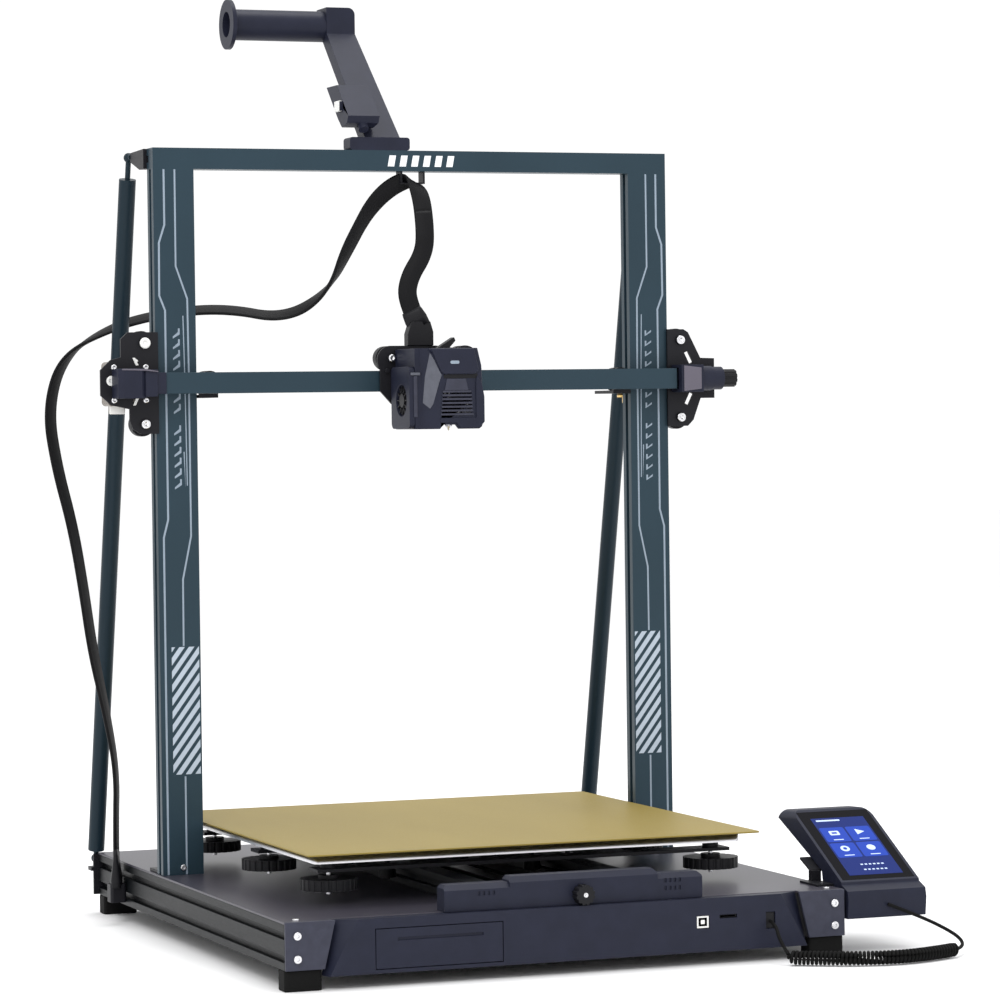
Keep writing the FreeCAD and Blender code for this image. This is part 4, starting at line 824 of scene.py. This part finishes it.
def gantry_details():
    """Screws, slot bolts, caps, nuts and cover panels of the lifting gantry, with a painted highlight along
    the top of the motor cover.
    """
    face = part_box("gantry_plates")[0].y
    motor_low, motor_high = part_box("x_motor")
    centre = (motor_low + motor_high) / 2
    gantry_screws(face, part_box("gantry_wheels"), centre)
    for z, lean in ((0.5478, -1.6), (0.5102, 1.6)):
        outline = [(-1.4 - lean, -3.6), (1.4 - lean, -3.6), (1.4 + lean, 3.6), (-1.4 + lean, 3.6)]
        at = (centre.x + 5.6 * MM, face, z)
        front_plate("slot_bolt", outline, at, 0.8, "gantry", WHITE, "grey_plastic", 0.3)
    cap_at = (motor_low.x + 3.0 * MM, face, 0.5298)
    button_screw("shaft_cap", cap_at, 4.8, "gantry", WHITE, "grey_plastic", 0.6)
    socket_at = (centre.x - 15.5 * MM, motor_low.y + 27 * MM, 0.4985)
    front_plate("motor_socket", rectangle(-1.5, 13.5, 0, 8.0), socket_at, 2.0, "gantry", WHITE,
                "grey_plastic", 0.6)
    lift_nuts()
    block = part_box("tension_block")[0]
    panel = [(0.6, 0.8), (19.4, 3.0), (19.4, 24.0), (0.6, 26.2)]
    front_plate("idler_cover", panel, block + Vector((1.5 * MM, 0, 0)), 1.2, "gantry", LILAC_AND_HIGHLIGHT,
                "grey_plastic", 0.8)
    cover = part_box("motor_cover")[0]
    # Lilac strip along the top of the motor cover: a painted highlight on its top edge.
    highlight_outline = [(1, 27.2), (24, 26.6), (36, 25.2), (36, 26.2), (24, 28.2), (1, 28.6)]
    front_plate("cover_top_highlight", highlight_outline, cover + Vector((2, 1, -0.8)) * MM, 1.6, "gantry", LILAC_AND_HIGHLIGHT,
                "grey_plastic", 0.4)


def base_details():
    """Rim of the USB socket, knob screw, plug of the filament sensor and slanted marks on the top bar."""
    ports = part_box("ports")[0]
    rim = [rectangle(0.3, 11.7, 33.7, 35.2), rectangle(0.3, 11.7, 42.8, 44.3),
           rectangle(0.3, 1.8, 35.2, 42.8), rectangle(10.2, 11.7, 35.2, 42.8),
           rectangle(4.2, 7.8, 37.2, 40.8)]
    for k, outline in enumerate(rim):
        front_plate("usb_rim_%d" % k, outline, (ports.x, ports.y, 0), 0.5, "frame", WHITE, "grey_plastic")
    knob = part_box("tension_knob_y")
    middle = (knob[0] + knob[1]) / 2
    button_screw("knob_screw", (middle.x, knob[0].y, middle.z), 2.2, "knob_y", height=0.8)
    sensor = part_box("filament_sensor")[0]
    front_plate("sensor_plug", rectangle(-0.8, 2.6, 787.5, 797.6), (sensor.x, sensor.y + 31 * MM, 0), 13.5,
                "frame", WHITE, "grey_plastic", 0.4)
    low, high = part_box("portal_frame")
    slanted = [(0, 0), (6.6, 0), (8.6, 10.6), (2.0, 10.6)]
    for k in range(6):
        at = (low.x + (235 + 12 * k) * MM, low.y, high.z - 15.5 * MM)
        front_plate("bar_mark_%d" % k, slanted, at, 0.15, "frame", BAR_MARK, "blue_alu")


def screen_picture():
    """Display: a header line, four tiles with plain symbols and two rows of ticks."""
    low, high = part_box("screen_glass")
    up = Vector((0, 105, 56)).normalized()
    out = Vector((0, -up.z, up.y))
    corner = Vector((low.x, low.y, low.z + 1.5 * MM * out.z))
    wide = (high.x - low.x) / MM
    tall = 111.6

    def sheet(name, outline, lift, material):
        at = corner + out * (lift * MM)
        mesh = prism_mesh(name, outline, at, (MM, 0, 0), up * MM, out * (0.06 * MM))
        add_object(name, mesh, "touch_screen", material, slot="screen_glass", smooth=False)

    def spot(x, z, width, height, radius):
        return [(x + u - width / 2, z + v - height / 2) for u, v in rounded_outline(width, height, radius)]

    x0, x1 = wide * 0.135, wide * 0.885
    z0, z1 = tall * 0.06, tall * 0.90
    sheet("screen_field", rectangle(x0, x1, z0, z1), 0.02, SCREEN_BLUE)
    sheet("screen_header", rectangle(x0 + 4, x0 + 28, z1 - 5.5, z1 - 3.2), 0.10, SCREEN_MARK)
    middle = (x0 + x1) / 2
    for row, base in enumerate((0.335, 0.565)):
        z = tall * (1 - base)
        for column in (-1, 1):
            x = middle + column * 13.2
            sheet("screen_tile", spot(x, z - 1.5, 24.5, 23.5, 2), 0.10, SCREEN_TILE)
            sheet("screen_label", rectangle(x - 5, x + 5, z - 10.5, z - 9.3), 0.18, SCREEN_MARK)
            if (row, column) == (0, -1):
                sheet("screen_sign", spot(x, z + 1, 10, 7, 1.2), 0.18, SCREEN_MARK)
                sheet("screen_sign_hole", spot(x, z + 1, 5.5, 2.6, 0.8), 0.26, SCREEN_TILE)
            elif (row, column) == (0, 1):
                arrow = [(x - 4, z - 3), (x + 4.5, z + 1.5), (x - 4, z + 6)]
                sheet("screen_sign", arrow, 0.18, SCREEN_MARK)
            elif (row, column) == (1, -1):
                sheet("screen_sign", spot(x, z + 1, 9, 9, 4.4), 0.18, SCREEN_MARK)
                sheet("screen_sign_hole", spot(x, z + 1, 4, 4, 1.9), 0.26, SCREEN_TILE)
            else:
                sheet("screen_sign", spot(x, z + 1, 8.6, 8.6, 4.2), 0.18, SCREEN_MARK)
    for base in (0.793, 0.867):
        z = tall * (1 - base)
        for k in range(6):
            x = middle - 9 + k * 4.2
            sheet("screen_tick", rectangle(x, x + 2.4, z - 0.9, z + 0.9), 0.10, SCREEN_MARK)


# ------------------------------------------------------------------ make everything

add_camera()
add_main_cable()
add_head_cable()
add_screen_cord()
add_stage()

SOFT_NODES = {
    "base_rails": (RAIL_BLACK, 0.5), "deck_plate": (DECK, 0.4), "base_tray": (INNER, 0.3),
    "end_plates": (NAVY_PALE_AND_HIGHLIGHT, 0.7), "feet": (RUBBER, 1.2),
    "belt_tensioner": (NAVY, 1.4), "tension_knob_y": (BLACK, 0.5), "base_motors": (STEEL_BLACK, 0.4),
    "frame_brackets": (STEEL_BLACK, 0.4), "spool_holder": (NAVY, 1.2),
    "filament_sensor": (NAVY, 1.0), "bed_carriage": (STEEL_BLACK, 0.4), "bed_plate": (ALU, 0.4),
    "print_sheet": (GOLD, 0.2), "x_beam": (FRAME_BLUE, 0.5), "gantry_plates": (STEEL_BLACK, 0.5),
    "gantry_wheels": (BLACK, 0.6), "x_motor": (LAMINATE, 0.5), "motor_cover": (NAVY, 1.0),
    "tension_block": (NAVY, 0.8), "tension_knob_x": (BLACK, 0.6), "head_plate": (STEEL_BLACK, 0.4),
    "head_wheels": (BLACK, 0.6), "head_shroud": (NAVY, 1.0), "blower_case": (NAVY, 0.6),
    "cable_clamp": (BLACK, 0.6), "tool_drawer": (NAVY, 0.4), "screen_case": (NAVY, 2.0),
    "screen_bracket": (STEEL_BLACK, 0.3), "power_rocker": (BLACK, 0.5), "ports": (BLACK, 0.3),
}
for cad_node, (material, width) in SOFT_NODES.items():
    softened(cad_node, material, width)
softened("front_fascia", NAVY, 0.8, one_piece=True)
PLAIN_NODES = {
    "frame_screws": BRIGHT, "electronics": BOARD, "bed_belt": RUBBER, "bed_pulley": ALU,
    "braces": BRACE_BLUE, "bed_wheels": BLACK, "x_belt": RUBBER, "x_pulley": ALU,
    "screw_nuts": STEEL_BLACK, "lead_screw_left": BRIGHT, "lead_screw_right": BRIGHT,
    "blower_rotor": BLACK, "hotend": ALU, "head_fan": BLACK, "screen_glass": BLACK_GLOSS,
    "portal_frame": FRAME_BLUE,
}
for cad_node, material in PLAIN_NODES.items():
    painted(cad_node, material)
for side_name in ("left", "right"):
    for place in ("front", "middle", "rear"):
        softened("knob_%s_%s" % (side_name, place), BLACK, 0.5)
upright_print(-1, "left_upright")
upright_print(1, "right_upright")
head_details()
gantry_details()
base_details()
screen_picture()


def corners(size):
    return [list(size[0]), list(size[1])]
